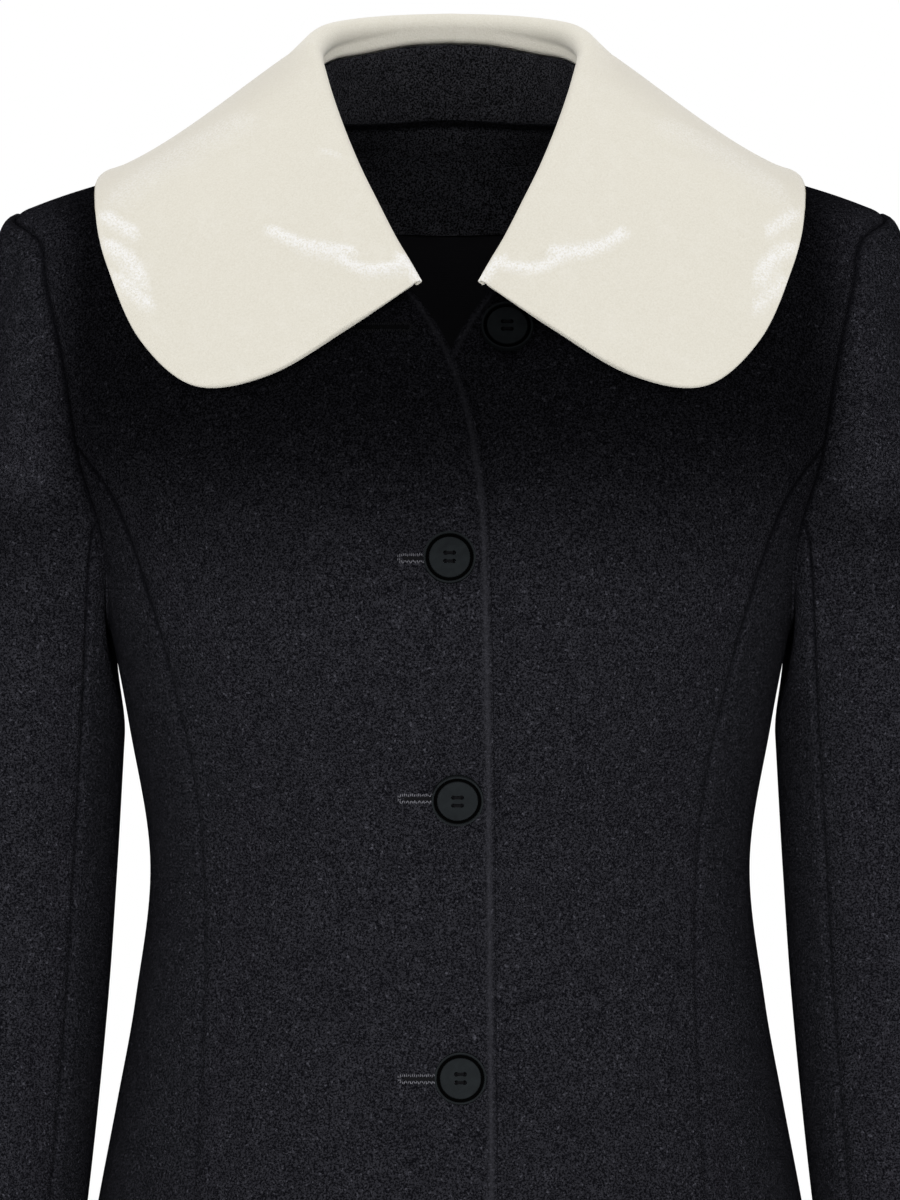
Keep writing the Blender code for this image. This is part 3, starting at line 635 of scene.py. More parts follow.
def back_rows():
    """Rows from the centre back and neckline to the back seam and armhole."""
    heights = level_heights(SEAM_TOP)
    share = upper_shares()
    neck = np.clip((share - LAPEL_SHARE) / (1 - LAPEL_SHARE), 0, 1)
    rise = blend(SEAM_TOP, NAPE, share / LAPEL_SHARE)
    top = np.where(share < LAPEL_SHARE, rise, back_neck_height(neck))
    starts = np.stack((180 - 90 * neck, top), axis=-1)
    stops = armhole_place(SEAM_STEP * (1 - share), "back")
    centre = np.stack((np.full_like(heights, 180.0), heights), axis=-1)
    return np.concatenate((centre, starts)), np.concatenate((seam_place("back", heights), stops))


def side_rows(facing):
    """Rows from the front or back seam to the side seam and the foot of the armhole."""
    heights = level_heights(UNDERARM)
    share = np.linspace(0, SIDE_TIP, TIP_ROWS)
    tip = seam_place(facing, blend(UNDERARM, SEAM_TOP, share))
    starts = np.concatenate((seam_place(facing, heights), tip))
    side = np.stack((np.full_like(heights, 90.0), heights), axis=-1)
    stops = np.concatenate((side, armhole_place(blend(1.0, SEAM_STEP, share), facing)))
    return starts, stops


def lengths(points, axis):
    """Distance along the grid from the first row or column."""
    steps = np.linalg.norm(np.diff(points, axis=axis), axis=-1)
    start = np.zeros_like(np.take(steps, [0], axis=axis))
    return np.cumsum(np.concatenate((start, steps), axis=axis), axis=axis)


def spread(surface, near, far):
    """Shares along each row of a surface, at set distances from both ends and even between."""
    fine = np.linspace(0, 1, FINE_STEPS)[None, :]
    along = lengths(surface(fine), 1)
    total = along[:, -1:]
    fit = np.minimum(1.0, NEAR_MOST * total / (near[-1] + far[-1]))
    inside = max(3, round(float(total.max() - near[-1] - far[-1]) / COLUMN_SPACING))
    middle = np.linspace(0, 1, inside + 1)[None, 1:-1]
    first = near[None, :] * fit
    last = total - far[None, ::-1] * fit
    wanted = np.concatenate((first, blend(first[:, -1:], last[:, :1], middle), last), axis=1)
    return np.stack([np.interp(want, have, fine[0]) for want, have in zip(wanted, along)])


def grid_normals(points):
    return unit(np.cross(np.gradient(points, axis=1), np.gradient(points, axis=0)))


def outward_normals(points):
    """Normals of a grid that lies round the upright axis, pointing away from it."""
    normals = grid_normals(points)
    return normals * np.sign(np.sum(normals * points * np.array((1, 1, 0)), axis=-1).mean())


def stroke(points, mark):
    """Shares along a straight stroke in the front view, and distances aside from it, in metres."""
    start = np.array((mark.x1, mark.z1)) * MM
    run = np.array((mark.x2, mark.z2)) * MM - start
    size = np.hypot(*run)
    offset = points[..., (0, 2)] - start
    share = offset @ run / size**2
    aside = (offset[..., 1] * run[0] - offset[..., 0] * run[1]) / size
    return share, aside


def crease_relief(points, normals, creases):
    """How far soft troughs and ridges move the cloth, each fading towards its ends and round the side."""
    total = np.zeros(points.shape[:2])
    for crease in creases:
        share, aside = stroke(points, crease)
        inside = np.clip(share, 0, 1)
        aside = aside - crease.bow * MM * 4 * inside * (1 - inside)
        fade = np.clip(np.sin(math.pi * inside), 0, 1) ** CREASE_FADE
        facing = -normals[..., 1] if crease.view == "front" else normals[..., 1]
        shape = fade * hump(aside, 0.0, crease.width * MM) * ease(facing * FACING_GAIN)
        total += crease.rise * MM * shape
    return total


def seam_relief(distance, sizes):
    """A seam's valley, between slightly raised turnings."""
    valley = sizes.seam_depth * hump(distance, 0.0, sizes.seam_width)
    turning = sizes.seam_depth * TURNING_SHARE * hump(distance, TURNING_PLACE, TURNING_WIDTH)
    return turning - valley


def seam_shade(distances, height, sizes):
    """The painted shade in a seam's valley: deep round the armhole, where the cloth is eased in, and faint
    below.
    """
    low, high = SEAM_FADE
    clear = blend(SEAM_FAINT, 1.0, ease((height - low) / (high - low)))
    return clear * hump(np.minimum.reduce(distances), 0.0, sizes.seam_width * SHADE_SHARE)


def edge_round(distance, wall):
    """How far a turned edge's two faces draw together, as a half round."""
    radius = wall / 2
    inward = np.clip(1 - distance / radius, 0, 1)
    return radius * EDGE_ROUND * (1 - np.sqrt(1 - inward**2))


def front_edge_relief(distance, sizes):
    """The swell of a turned front edge, over the folded-in turnings, and the dip behind it."""
    swell = SWELL_RISE * hump(distance, sizes.edge_swell, SWELL_WIDTH)
    dip = DIP_DEPTH * hump(distance, sizes.edge_swell * 2, DIP_WIDTH)
    return swell - dip


def select_only(piece):
    bpy.ops.object.select_all(action="DESELECT")
    piece.select_set(True)
    bpy.context.view_layer.objects.active = piece


def smooth(piece, angle):
    """Shades the piece smoothly, apart from edges sharper than the angle in degrees."""
    select_only(piece)
    bpy.ops.object.shade_smooth_by_angle(angle=math.radians(angle))


def new_piece(name, points, faces, finish, angle):
    """A smooth piece with its faces turned outward."""
    data = bpy.data.meshes.new(name)
    data.from_pydata(points, [], faces)
    shape = bmesh.new()
    shape.from_mesh(data)
    bmesh.ops.recalc_face_normals(shape, faces=shape.faces[:])
    shape.to_mesh(data)
    shape.free()
    data.materials.append(finish)
    piece = bpy.data.objects.new(name, data)
    bpy.context.scene.collection.objects.link(piece)
    smooth(piece, angle)
    return piece


def wall_mesh(name, outer, inner, finish, attributes):
    """A closed wall of cloth between two grids of points, with its lengths in metres as its UV map."""
    rows, columns = outer.shape[:2]
    count = rows * columns
    index = np.arange(count).reshape(rows, columns)
    quads = np.stack((index[:-1, :-1], index[:-1, 1:], index[1:, 1:], index[1:, :-1]), axis=-1).reshape(-1, 4)
    border = np.concatenate((index[0, :-1], index[:-1, -1], index[-1, :0:-1], index[:0:-1, 0]))
    ahead = np.roll(border, -1)
    rim = np.stack((ahead, border, border + count, ahead + count), axis=-1)
    faces = np.concatenate((quads, quads[:, ::-1] + count, rim))
    points = np.concatenate((outer.reshape(-1, 3), inner.reshape(-1, 3)))
    piece = new_piece(name, points.tolist(), faces.tolist(), finish, CLOTH_SHARP)
    data = piece.data
    cut_lengths = np.stack((lengths(outer, 1).ravel(), lengths(outer, 0).ravel()), axis=-1)
    places = np.tile(cut_lengths, (2, 1))
    corners = np.empty(len(data.loops), dtype=np.int32)
    data.loops.foreach_get("vertex_index", corners)
    data.uv_layers.new(name="Cloth").data.foreach_set("uv", places[corners].astype(np.float32).ravel())
    for key, values in attributes.items():
        layer = data.attributes.new(key, "FLOAT", "POINT")
        layer.data.foreach_set("value", np.tile(values.ravel(), 2).astype(np.float32))
    return piece


def join_frame(piece, node):
    """The piece rides on the coat's one body and stands for its node, which it hides."""
    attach(piece, "root")
    if node:
        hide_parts(node)


def sew_in(piece, node, points):
    """Joins a sheet of cloth to the coat in its node's place, and measures its laid-out grid's width and
    length.
    """
    join_frame(piece, node)
    width = float(lengths(points, 1)[:, -1].max())
    length = float(lengths(points, 0)[-1].max())


def mirrored(points, side):
    return points * np.array((side, 1.0, 1.0))


def edge_distances(points):
    """Distances of each grid point from the first and last column and from the first and last row."""
    across = lengths(points, 1)
    along = lengths(points, 0)
    return across, across[:, -1:] - across, along, along[-1:] - along


def tucked_under(x):
    """How far the left front sinks to lie under the right one."""
    return -TUCK * (1 - ease((x - OVERLAP) / OVERLAP_FADE))


def wool_panel(node, base, placed, facing, relief, folds, rounded, attributes, finish, sizes):
    """Makes a wool panel from its laid-out grid and the heights that are worked into its two faces."""
    outer = placed + facing * (relief + folds - rounded)[..., None]
    inner = placed + facing * (folds - sizes.wool + rounded)[..., None]
    piece = wall_mesh("wool_" + node, outer, inner, finish, attributes)
    sew_in(piece, node, base)


def body_panel(node, rows, side, finish, sizes, free=False, sunk=False):
    """A wool panel of the body, with seam valleys, rounded free edges and creases."""
    starts, stops = rows

    def surface(share):
        angle = blend(starts[:, :1], stops[:, :1], share)
        height = blend(starts[:, 1:], stops[:, 1:], share)
        return body_point(angle, height)

    base = surface(spread(surface, NEAR_EDGE if free else NEAR_SEAM, NEAR_SEAM))
    normals = outward_normals(base)
    if sunk:
        base = base + normals * tucked_under(base[..., :1])
    first, last, foot, head = edge_distances(base)
    relief = seam_relief(last, sizes) + seam_relief(head, sizes)
    relief += front_edge_relief(first, sizes) if free else seam_relief(first, sizes)
    rounded = edge_round(foot, sizes.wool)
    if free:
        rounded = np.maximum(rounded, edge_round(first, sizes.wool))
    placed = mirrored(base, side)
    facing = mirrored(normals, side)
    folds = crease_relief(placed, facing, BODY_CREASES)
    folds *= ease((first - FOLD_START) / FOLD_FADE) * ease(last / FOLD_FADE)
    # Painted highlight: the nap is made paler along the swell of a free front edge
    rubbed = hump(first, sizes.edge_swell, EDGE_HIGHLIGHT_WIDTH) if free else np.zeros_like(first)
    # Painted shade darkens the wool in the seam valleys
    seam = seam_shade((last, head) if free else (first, last, head), base[..., 2], sizes)
    marks = {"rubbed": rubbed, "seam": seam}
    wool_panel(node, base, placed, facing, relief, folds, rounded, marks, finish, sizes)


def sleeve_ring(turn, step):
    """A point of the sleeve below its cap. The turn runs from the outside through the front."""
    turn, step = np.broadcast_arrays(turn, step)
    lean = np.cos(np.radians(turn))
    outer_x = by_step(SLEEVE, "outer_x", step)
    inner_x = by_step(SLEEVE, "inner_x", step)
    outer_z = by_step(SLEEVE, "outer_z", step)
    inner_z = by_step(SLEEVE, "inner_z", step)
    x = (outer_x + inner_x) / 2 + (outer_x - inner_x) / 2 * lean
    z = (outer_z + inner_z) / 2 + (outer_z - inner_z) / 2 * lean
    y = by_step(SLEEVE, "middle_y", step) - by_step(SLEEVE, "half_depth", step) * np.sin(np.radians(turn))
    return np.stack((x, y, z), axis=-1)


def on_armhole(surface, turn):
    """The body's point or normal on the armhole where the sleeve has this turn."""
    turn = np.mod(turn, 360)
    step = np.where(turn <= 180, turn, 360 - turn) / 180
    front = surface(*armhole(step, "front"))
    back = surface(*armhole(step, "back"))
    return np.where((turn <= 180)[..., None], front, back)


def sleeve_start(turn):
    """The sleeve's edge on the armhole, a seam's gap outside it."""
    return on_armhole(body_point, turn) + np.array((SLEEVE_GAP, 0, 0))


def sleeve_point(turn, step):
    """A point of the sleeve, from 0 at the armhole through 1 at the foot of the cap to 2 at the cuff."""
    turn, step = np.broadcast_arrays(turn, step)
    start = sleeve_start(turn)
    end = sleeve_ring(turn, np.zeros_like(step))
    over = ((1 + np.cos(np.radians(turn))) / 2)[..., None]
    leave = blend(UNDERARM_DROP, CAP_LEAVE, over)
    leave[..., 1] -= CAP_FORWARD * np.sin(np.radians(turn))
    reach = np.linalg.norm(end - start, axis=-1, keepdims=True)
    arrive = unit(sleeve_ring(turn, np.full_like(step, NUDGE)) - end) * reach
    t = np.clip(step, 0, 1)[..., None]
    cap = (
        start * (1 + 2 * t) * (1 - t) ** 2
        + leave * t * (1 - t) ** 2
        + end * t * t * (3 - 2 * t)
        - arrive * t * t * (1 - t)
    )
    return np.where((step >= 1)[..., None], sleeve_ring(turn, np.maximum(step - 1, 0)), cap)


def sleeve_panel(node, turns, side, finish, sizes):
    """The upper or under panel of a sleeve, eased into the armhole and creased at the elbow."""

    def surface(share):
        return sleeve_point(blend(turns[0], turns[1], share), SLEEVE_STEPS)

    shares = spread(surface, NEAR_SEAM, NEAR_SEAM)
    base = surface(shares)
    normals = grid_normals(base)
    outside, inside = (sleeve_point(np.array([[turn]]), SLEEVE_STEPS) for turn in (0.0, 180.0))
    normals *= np.sign(np.sum(normals * (base - (outside + inside) / 2), axis=-1).mean())
    first, last, head, foot = edge_distances(base)
    under_seam = on_armhole(body_normal, blend(turns[0], turns[1], shares[:1]))
    normals = unit(blend(under_seam, normals, ease(head / SLEEVE_EASE)[..., None]))
    relief = seam_relief(first, sizes) + seam_relief(last, sizes) + seam_relief(head, sizes)
    rounded = edge_round(foot, sizes.wool)
    placed = mirrored(base, side)
    facing = mirrored(normals, side)
    folds = crease_relief(placed, facing, SLEEVE_CREASES)
    folds *= ease(first / SLEEVE_FOLD_FADE) * ease(last / SLEEVE_FOLD_FADE)
    # Painted shade darkens the wool in the seam valleys
    marks = {"seam": seam_shade((first, last, head), base[..., 2], sizes)}
    wool_panel(node, base, placed, facing, relief, folds, rounded, marks, finish, sizes)


def collar_crest(step):
    return np.stack([by_step(COLLAR, "crest_" + axis, np.abs(step)) for axis in "xyz"], axis=-1)


def collar_edge(step):
    """The collar's edge, lying on the coat, with the shoulder seam between its back and its front."""
    height = by_step(COLLAR, "edge_z", step)
    angle = front_angle(by_step(COLLAR, "edge_x", step), height)
    angle = np.where(step < SHOULDER_STEP, 180 - angle, angle)
    return body_point(angle, height) + body_normal(angle, height) * by_step(COLLAR, "lift", step)[..., None]


def collar_frame(step):
    """The fold's middle, its direction towards the edge and its outward direction, at a step."""
    crest = collar_crest(step)
    ahead = collar_crest(np.minimum(1.0, step + CREST_NUDGE))
    along = unit(ahead - collar_crest(np.maximum(0.0, step - CREST_NUDGE)))
    along = np.where((step <= CREST_NUDGE)[..., None], np.array((1.0, 0.0, 0.0)), along)
    fall = collar_edge(step) - crest
    fall = unit(fall - along * np.sum(fall * along, axis=-1, keepdims=True))
    out = unit(np.cross(along, fall))
    return crest + fall * by_step(COLLAR, "roll", step)[..., None], fall, out


def neck_point(step):
    """The neckline below a collar step."""
    place = by_step(COLLAR, "neck", step)
    back = body_point(180 - 90 * np.minimum(place, 1), back_neck_height(np.minimum(place, 1)))
    height = blend(COLLAR_END, NECK_POINT, np.clip(2 - place, 0, 1))
    front = body_point(*np.moveaxis(edge_place(height), -1, 0))
    return np.where((place <= 1)[..., None], back, front)


def band_line(step):
    """Where the fold ends inside the neck, and the direction from there down to the neckline."""
    middle, _, out = collar_frame(step)
    start = middle - out * by_step(COLLAR, "roll", step)[..., None]
    return start, unit(neck_point(step) - start)


def body_measure(point):
    """1 on the body's outer face, less inside it and more outside it."""
    height = np.minimum(point[..., 2], NECK_POINT)
    power = by_height(BODY, "power", height)
    across = np.abs(point[..., 0]) / by_height(BODY, "half_width", height)
    depth = np.where(point[..., 1] < 0, by_height(BODY, "front", height), by_height(BODY, "back", height))
    return (across**power + (np.abs(point[..., 1]) / depth) ** power) ** (1 / power)


def clear_of_body(point, lift):
    """The points, moved out until they are lifted clear of the body."""
    for _ in range(3):
        slope = np.stack(
            [
                (body_measure(point + step) - body_measure(point - step)) / (2 * NUDGE)
                for step in np.eye(3) * NUDGE
            ],
            axis=-1,
        )
        distance = (body_measure(point) - 1) / np.linalg.norm(slope, axis=-1)
        short = np.where(point[..., 2] < NECK_POINT, np.maximum(lift - distance, 0), 0.0)
        point = point + unit(slope) * short[..., None]
    return point


def collar_point(step, share):
    """The collar's upper face, from the band inside the neck over the fold to the edge."""
    step, share = np.broadcast_arrays(step, share)
    middle, fall, out = collar_frame(step)
    roll = by_step(COLLAR, "roll", step)[..., None]
    start, down = band_line(step)
    inside = np.clip(1 - share / BAND_SHARE, 0, 1)[..., None]
    band = start + down * by_step(COLLAR, "band", step)[..., None] * inside
    turn = math.pi * np.clip((share - BAND_SHARE) / (ROLL_SHARE - BAND_SHARE), 0, 1)[..., None]
    fold = middle - out * roll * np.cos(turn) - fall * roll * np.sin(turn)
    t = np.clip((share - ROLL_SHARE) / (1 - ROLL_SHARE), 0, 1)[..., None]
    top = middle + out * roll
    end = collar_edge(step)
    sag = SHOULDER_SAG * hump(step, SHOULDER_STEP, SAG_SPREAD)[..., None] * np.array((0, 0, 1.0))
    leave = top + fall * np.linalg.norm(end - top, axis=-1, keepdims=True) * FALL_START - sag * SAG_START
    arrive = blend(end, top, FALL_END) - sag
    drop = top * (1 - t) ** 3 + leave * 3 * t * (1 - t) ** 2 + arrive * 3 * t * t * (1 - t) + end * t**3
    drop = clear_of_body(drop, by_step(COLLAR, "lift", step))
    share = share[..., None]
    return np.where(share < BAND_SHARE, band, np.where(share < ROLL_SHARE, fold, drop))


def both_ways(point, position, share):
    """A surface given for the left half, carried to the right half too."""
    made = point(np.abs(position), share)
    return made * np.stack((np.where(position < 0, -1.0, 1.0), *np.ones((2, *position.shape))), axis=-1)


def crush_sheen_marks(points, normals):
    """Painted sheen where the velvet's pile is crushed, from the strokes that shine in the front view."""
    total = np.zeros(points.shape[:2])
    for mark in CRUSH_SHEENS:
        share, aside = stroke(points, mark)
        inside = np.clip(share, 0, 1)
        aside = aside / MM - mark.bow * 4 * inside * (1 - inside)
        beyond = np.abs(share - inside) * math.hypot(mark.x2 - mark.x1, mark.z2 - mark.z1)
        above = aside * (mark.x2 - mark.x1) > 0
        width = mark.width * np.where(above, CRUSH_SHEEN_ABOVE, CRUSH_SHEEN_BELOW)
        spread_out = (aside**2 + beyond**2) / width**2
        total = np.maximum(total, mark.amount * np.exp(-spread_out) * ease(-normals[..., 1] * FACING_GAIN))
    return total


def both_halves(half):
    """Positions from the right end through the centre back to the left end."""
    return np.concatenate((-half[:0:-1], half))[None, :]


def velvet_collar(finish, sizes):
    """The turned-down collar with its fold, puffed edge and creases."""
    position, share = np.broadcast_arrays(both_halves(COLLAR_HALF), COLLAR_SHARES)
    step = np.abs(position)
    base = both_ways(collar_point, position, share)
    normals = grid_normals(base)
    first, last, band, edge = edge_distances(base)
    ends = np.minimum(first, last)
    rim = np.minimum(edge, ends)
    wall = sizes.velvet * np.clip(by_step(COLLAR, "roll", step) / FULL_ROLL, THIN_POINT, 1)
    rounded = edge_round(np.minimum(rim, band), wall)
    wave = sum(size * np.sin(position * pace + start) for size, pace, start in EDGE_WAVES)
    whole = ease((ends - POINT_START) / POINT_FADE)
    puff = (PUFF_RISE + PUFF_WAVE * wave) * hump(rim, PUFF_PLACE, PUFF_WIDTH) * whole
    sink = -SINK_DEPTH * hump(rim, SINK_PLACE, SINK_WIDTH) * whole
    folds = crease_relief(base, normals, COLLAR_CREASES) * ease((rim - RIM_START) / RIM_FADE)
    folds *= ease((share - ROLL_SHARE * CREASE_START) / CREASE_REACH)
    lift = by_step(COLLAR, "lift", step)
    shoulder = hump(step, SHOULDER_STEP, SETTLE_SPREAD)
    near_edge = np.clip(1 - edge / SETTLE_REACH, 0, 1)
    settled = (lift - SETTLE_REST) * shoulder * (1 - np.sqrt(1 - near_edge**2))
    padded = (lift - SETTLE_REST / 2 - wall) * shoulder * ease(near_edge * 2)
    puff *= 1 - shoulder
    outer = base + normals * (puff + sink + folds - rounded - settled)[..., None]
    inner = base - normals * (wall + padded - rounded - np.maximum(folds, 0) * INNER_FOLLOWS)[..., None]
    # Painted shade: the pile greys over the shoulder, where the collar turns away from the light
    lying = SHOULDER_SHADE_MOST * hump(step, SHOULDER_SHADE_STEP, SHOULDER_SHADE_SPREAD)
    lying *= ease((share - ROLL_SHARE * SHOULDER_SHADE_START) / SHOULDER_SHADE_REACH)
    # Painted sheen highlight: the pile is whitened along the crushed strokes
    marks = {"crush": crush_sheen_marks(base, normals), "lying": lying}
    piece = wall_mesh("velvet_collar", outer, inner, finish, marks)
    sew_in(piece, "collar", base)


def stand_point(step, share):
    """The stand's outer face, from the neckline up to the collar's band."""
    step, share = np.broadcast_arrays(step, share)
    _, fall, out = collar_frame(step)
    start, down = band_line(step)
    aside = unit(np.cross(np.cross(fall, out), down))
    band = (by_step(COLLAR, "band", step) + REST_GAP)[..., None]
    head = start + down * band + aside * STAND_WALL
    foot = neck_point(step) - down * REST_GAP
    return blend(foot, head, share[..., None])


def collar_stand(finish, sizes):
    """The wool strip inside the neck that joins the collar to the neckline."""
    position, share = np.broadcast_arrays(both_halves(STAND_HALF), STAND_SHARES)
    base = both_ways(stand_point, position, share)
    _, _, foot, head = edge_distances(base)
    valleys = seam_relief(foot, sizes) * STAND_SEAM + seam_relief(head, sizes) * STAND_SEAM
    inner = base + grid_normals(base) * (STAND_WALL - np.maximum(-valleys, 0))[..., None]
    piece = wall_mesh("wool_collar_stand", base, inner, finish, {})
    sew_in(piece, "collar_stand", base)


def facing_foot(share):
    """Height of the back neck facing's lower edge, from the centre back towards the shoulder."""
    return NAPE - FACING_DEPTH + FACING_LIFT * np.abs(share) ** FACING_CURVE


def inside_panel(name, node, place, wall, relief, side, finish, attributes):
    """A piece that lies inside the back, at a place given by its angles and heights."""
    base = body_point(*place)
    normals = outward_normals(base)
    outer = base - normals * INSIDE_GAP
    inner = outer - normals * (wall + relief)[..., None]
    piece = wall_mesh(name, mirrored(outer, side), mirrored(inner, side), finish, attributes)
    sew_in(piece, node, base)


def back_facing(finish):
    """The wool that faces the neck inside the back, with a folded foot."""
    top = back_neck_height(np.abs(FACING_POSITIONS) * FACING_TURN / 90) + FACING_LAP
    height = blend(facing_foot(FACING_POSITIONS), top, FACING_SHARES)
    angle = np.broadcast_to(180 - FACING_TURN * FACING_POSITIONS, height.shape)
    relief = np.broadcast_to(humps(FACING_SHARES, FACING_FOLDS), height.shape)
    # Painted shade: the facing's head is darkened as the shade along its seam under the stand
    seam = np.broadcast_to(FACING_SHARES > FACING_SHADE_FROM, height.shape)
    inside_panel(
        "wool_neck_facing", "back_neck_facing", (angle, height), FACING_WALL, relief, 1, finish,
        {"seam": seam},
    )


def back_lining(hand, side, finish):
    """Half of the back lining, pleated at the centre back and slack across."""
    bend = ease((LINING_RISES - LINING_BEND) / (1 - LINING_BEND))
    shift = bend * (facing_foot(LINING_SHARES) - facing_foot(0.0))
    height = blend(LINING_HEM, facing_foot(0.0) - MM, LINING_RISES) + shift
    across = LINING_SHARES * FACING_TURN
    angle = np.broadcast_to(180 - across, height.shape)
    slack = 1 + np.sin(across * WAVE_ACROSS + LINING_RISES * WAVE_ALONG)
    waves = WAVE_RISE * slack * ease((WAVE_TOP - LINING_RISES) * WAVE_FADE)
    relief = np.broadcast_to(humps(across, PLEATS) + waves, height.shape)
    inside_panel(
        "satin_lining_" + hand, "lining_back_" + hand, (angle, height), LINING_WALL, relief,
        side, finish, {},
    )


def front_face(x, height, side):
    """A front's outer face and its direction, at a place on the front's own side."""
    angle = front_angle(x, height)
    facing = body_normal(angle, height)
    point = body_point(angle, height)
    if side > 0:
        point = point + facing * np.asarray(tucked_under(x))[..., None]
    return mirrored(point, side), mirrored(facing, side)


def tubes(name, paths, radii, finish, sides=6):
    """Many short threads as one mesh, each a tube along its own path of points."""
    points = []
    faces = []
    turn = np.linspace(0, math.tau, sides, endpoint=False)
    for path, radius in zip(paths, radii):
        path = np.asarray(path, float)
        along = unit(np.gradient(path, axis=0))
        level = np.abs(along[:, 1:2]) < STEEP
        helper = np.where(level, np.array((0.0, 1.0, 0.0)), np.array((1.0, 0.0, 0.0)))
        across = unit(np.cross(along, helper))
        up = np.cross(across, along)
        taper = np.full(len(path), radius)
        taper[[0, -1]] *= THREAD_TAPER
        ring = across[:, None] * np.cos(turn)[None, :, None] + up[:, None] * np.sin(turn)[None, :, None]
        start = len(points)
        points += (path[:, None] + ring * taper[:, None, None]).reshape(-1, 3).tolist()
        for k in range(len(path) - 1):
            for j in range(sides):
                low = start + k * sides
                ahead = (j + 1) % sides
                faces.append((low + j, low + ahead, low + sides + ahead, low + sides + j))
        faces.append(tuple(start + j for j in reversed(range(sides))))
        faces.append(tuple(start + (len(path) - 1) * sides + j for j in range(sides)))
    join_frame(new_piece(name, points, faces, finish, THREAD_SHARP), None)


def stitch(x, height):
    """A stitch through the right front, arched over the wool."""
    point, facing = front_face(x, height, -1)
    return point + facing * STITCH_ARCH


def buttonhole(entry, finish, slit_finish):
    """A horizontal worked buttonhole: close stitches down both sides, a bar at its end and a round eye."""
    outer = entry.outer * MM
    inner = entry.inner * MM
    height = entry.height * MM
    paths = []
    for sense in (-1, 1):
        for k, x in enumerate(np.arange(inner + EYE, outer, STITCH_SPACING)):
            low = STITCH_FOOT + FOOT_VARIES * math.sin(k * FOOT_PACE)
            high = STITCH_HEAD + HEAD_VARIES * math.sin(k * HEAD_PACE + sense)
            lean = STITCH_LEAN * math.sin(k * LEAN_PACE + sense)
            rise = np.linspace(low, high, STITCH_POINTS)
            paths.append(stitch(np.linspace(x - lean, x + lean, STITCH_POINTS), height + sense * rise))
    reach = np.linspace(*EYE_REACH, STITCH_POINTS)
    for turn in np.linspace(-EYE_TURN, EYE_TURN, EYE_STITCHES):
        x = inner + EYE * EYE_SHARE - reach * math.cos(turn)
        paths.append(stitch(x, height + reach * math.sin(turn)))
    for x in (outer, outer + BAR_SPACING):
        for rise in BAR_STARTS:
            bar = height + rise + np.linspace(0, BAR_LENGTH, STITCH_POINTS)
            paths.append(stitch(np.full(STITCH_POINTS, x), bar))
    tubes(entry.name + "_stitches", paths, [STITCH_RADIUS] * len(paths), finish)
    run = np.linspace(inner, outer - SLIT_END, SLIT_COLUMNS)[None, :]
    rise = np.linspace(-SLIT_HALF, SLIT_HALF, SLIT_ROWS)[:, None]
    x, z = np.broadcast_arrays(run, height + rise)
    point, facing = front_face(x, z, -1)
    upper = point + facing * SLIT_RISE
    piece = wall_mesh(entry.name + "_slit", upper, point - facing * SLIT_SINK, slit_finish, {})
    join_frame(piece, None)


def hole_places(sizes):
    """The middles of a button's four holes, in its own plane."""
    half = sizes.hole_spacing / 2
    return [(x, y) for y in (-half, half) for x in (-half, half)]


def pick_top(mesh_object):
    """Selects the face that looks straight up and lies nearest the middle."""
    bpy.ops.object.mode_set(mode="EDIT")
    bpy.ops.mesh.select_all(action="DESELECT")
    bpy.ops.mesh.select_mode(type="FACE")
    shape = bmesh.from_edit_mesh(mesh_object.data)
    flat = [face for face in shape.faces if face.normal.z > FLAT]
    best = min(flat, key=lambda face: face.calc_center_median().xy.length)
    best.select_set(True)
    bmesh.update_edit_mesh(mesh_object.data)


def apply_modifier(piece, kind, name, **settings):
    select_only(piece)
    modifier = piece.modifiers.new(name, kind)
    for key, value in settings.items():
        setattr(modifier, key, value)
    bpy.ops.object.modifier_apply(modifier=modifier.name)


def button_blank(sizes):
    """A turned button with a thin rim, a ring groove, a flat middle, four holes and two sewing channels."""
    bpy.ops.object.select_all(action="DESELECT")
    bpy.ops.mesh.primitive_cylinder_add(
        vertices=BUTTON_SIDES, radius=sizes.button_radius, depth=sizes.button_thickness, end_fill_type="NGON"
    )
    blank = bpy.context.active_object
    pick_top(blank)
    for width, rise in TURNED_STEPS:
        bpy.ops.mesh.inset(thickness=width, depth=rise)
    bpy.ops.object.mode_set(mode="OBJECT")
    apply_modifier(blank, "BEVEL", "Softened edges", width=BUTTON_BEVEL, segments=2, limit_method="ANGLE")
    top = sizes.button_thickness / 2
    for x, y in hole_places(sizes):
        cut(blank, "cylinder", (x, y, 0), (HOLE_RADIUS, HOLE_RADIUS, HOLE_REACH))
        if x > 0:
            cut(blank, "cube", (0, y, top - CHANNEL_SINK), (x, CHANNEL_HALF, CHANNEL_DEPTH))
    smooth(blank, BUTTON_SHARP)
    # Painted shade: the groove, the holes and the channels are marked to be darkened
    hollow = blank.data.attributes.new("hollow", "FLOAT", "POINT")
    for corner, mark in zip(blank.data.vertices, hollow.data):
        inside = corner.co.xy.length < sizes.button_radius - HOLLOW_RIM
        mark.value = 1.0 if inside and corner.co.z < top - HOLLOW_DEPTH else 0.0
    return blank


def cut(piece, shape, place, size):
    """Cuts a round hole or a channel out of a piece."""
    bpy.ops.object.select_all(action="DESELECT")
    if shape == "cylinder":
        bpy.ops.mesh.primitive_cylinder_add(vertices=HOLE_SIDES, radius=1, depth=2, location=place)
    else:
        bpy.ops.mesh.primitive_cube_add(size=2, location=place)
    tool = bpy.context.active_object
    tool.scale = size
    bpy.ops.object.transform_apply(location=True, rotation=True, scale=True)
    apply_modifier(piece, "BOOLEAN", "Hole", object=tool, operation="DIFFERENCE", solver="EXACT")
    bpy.data.objects.remove(tool, do_unlink=True)


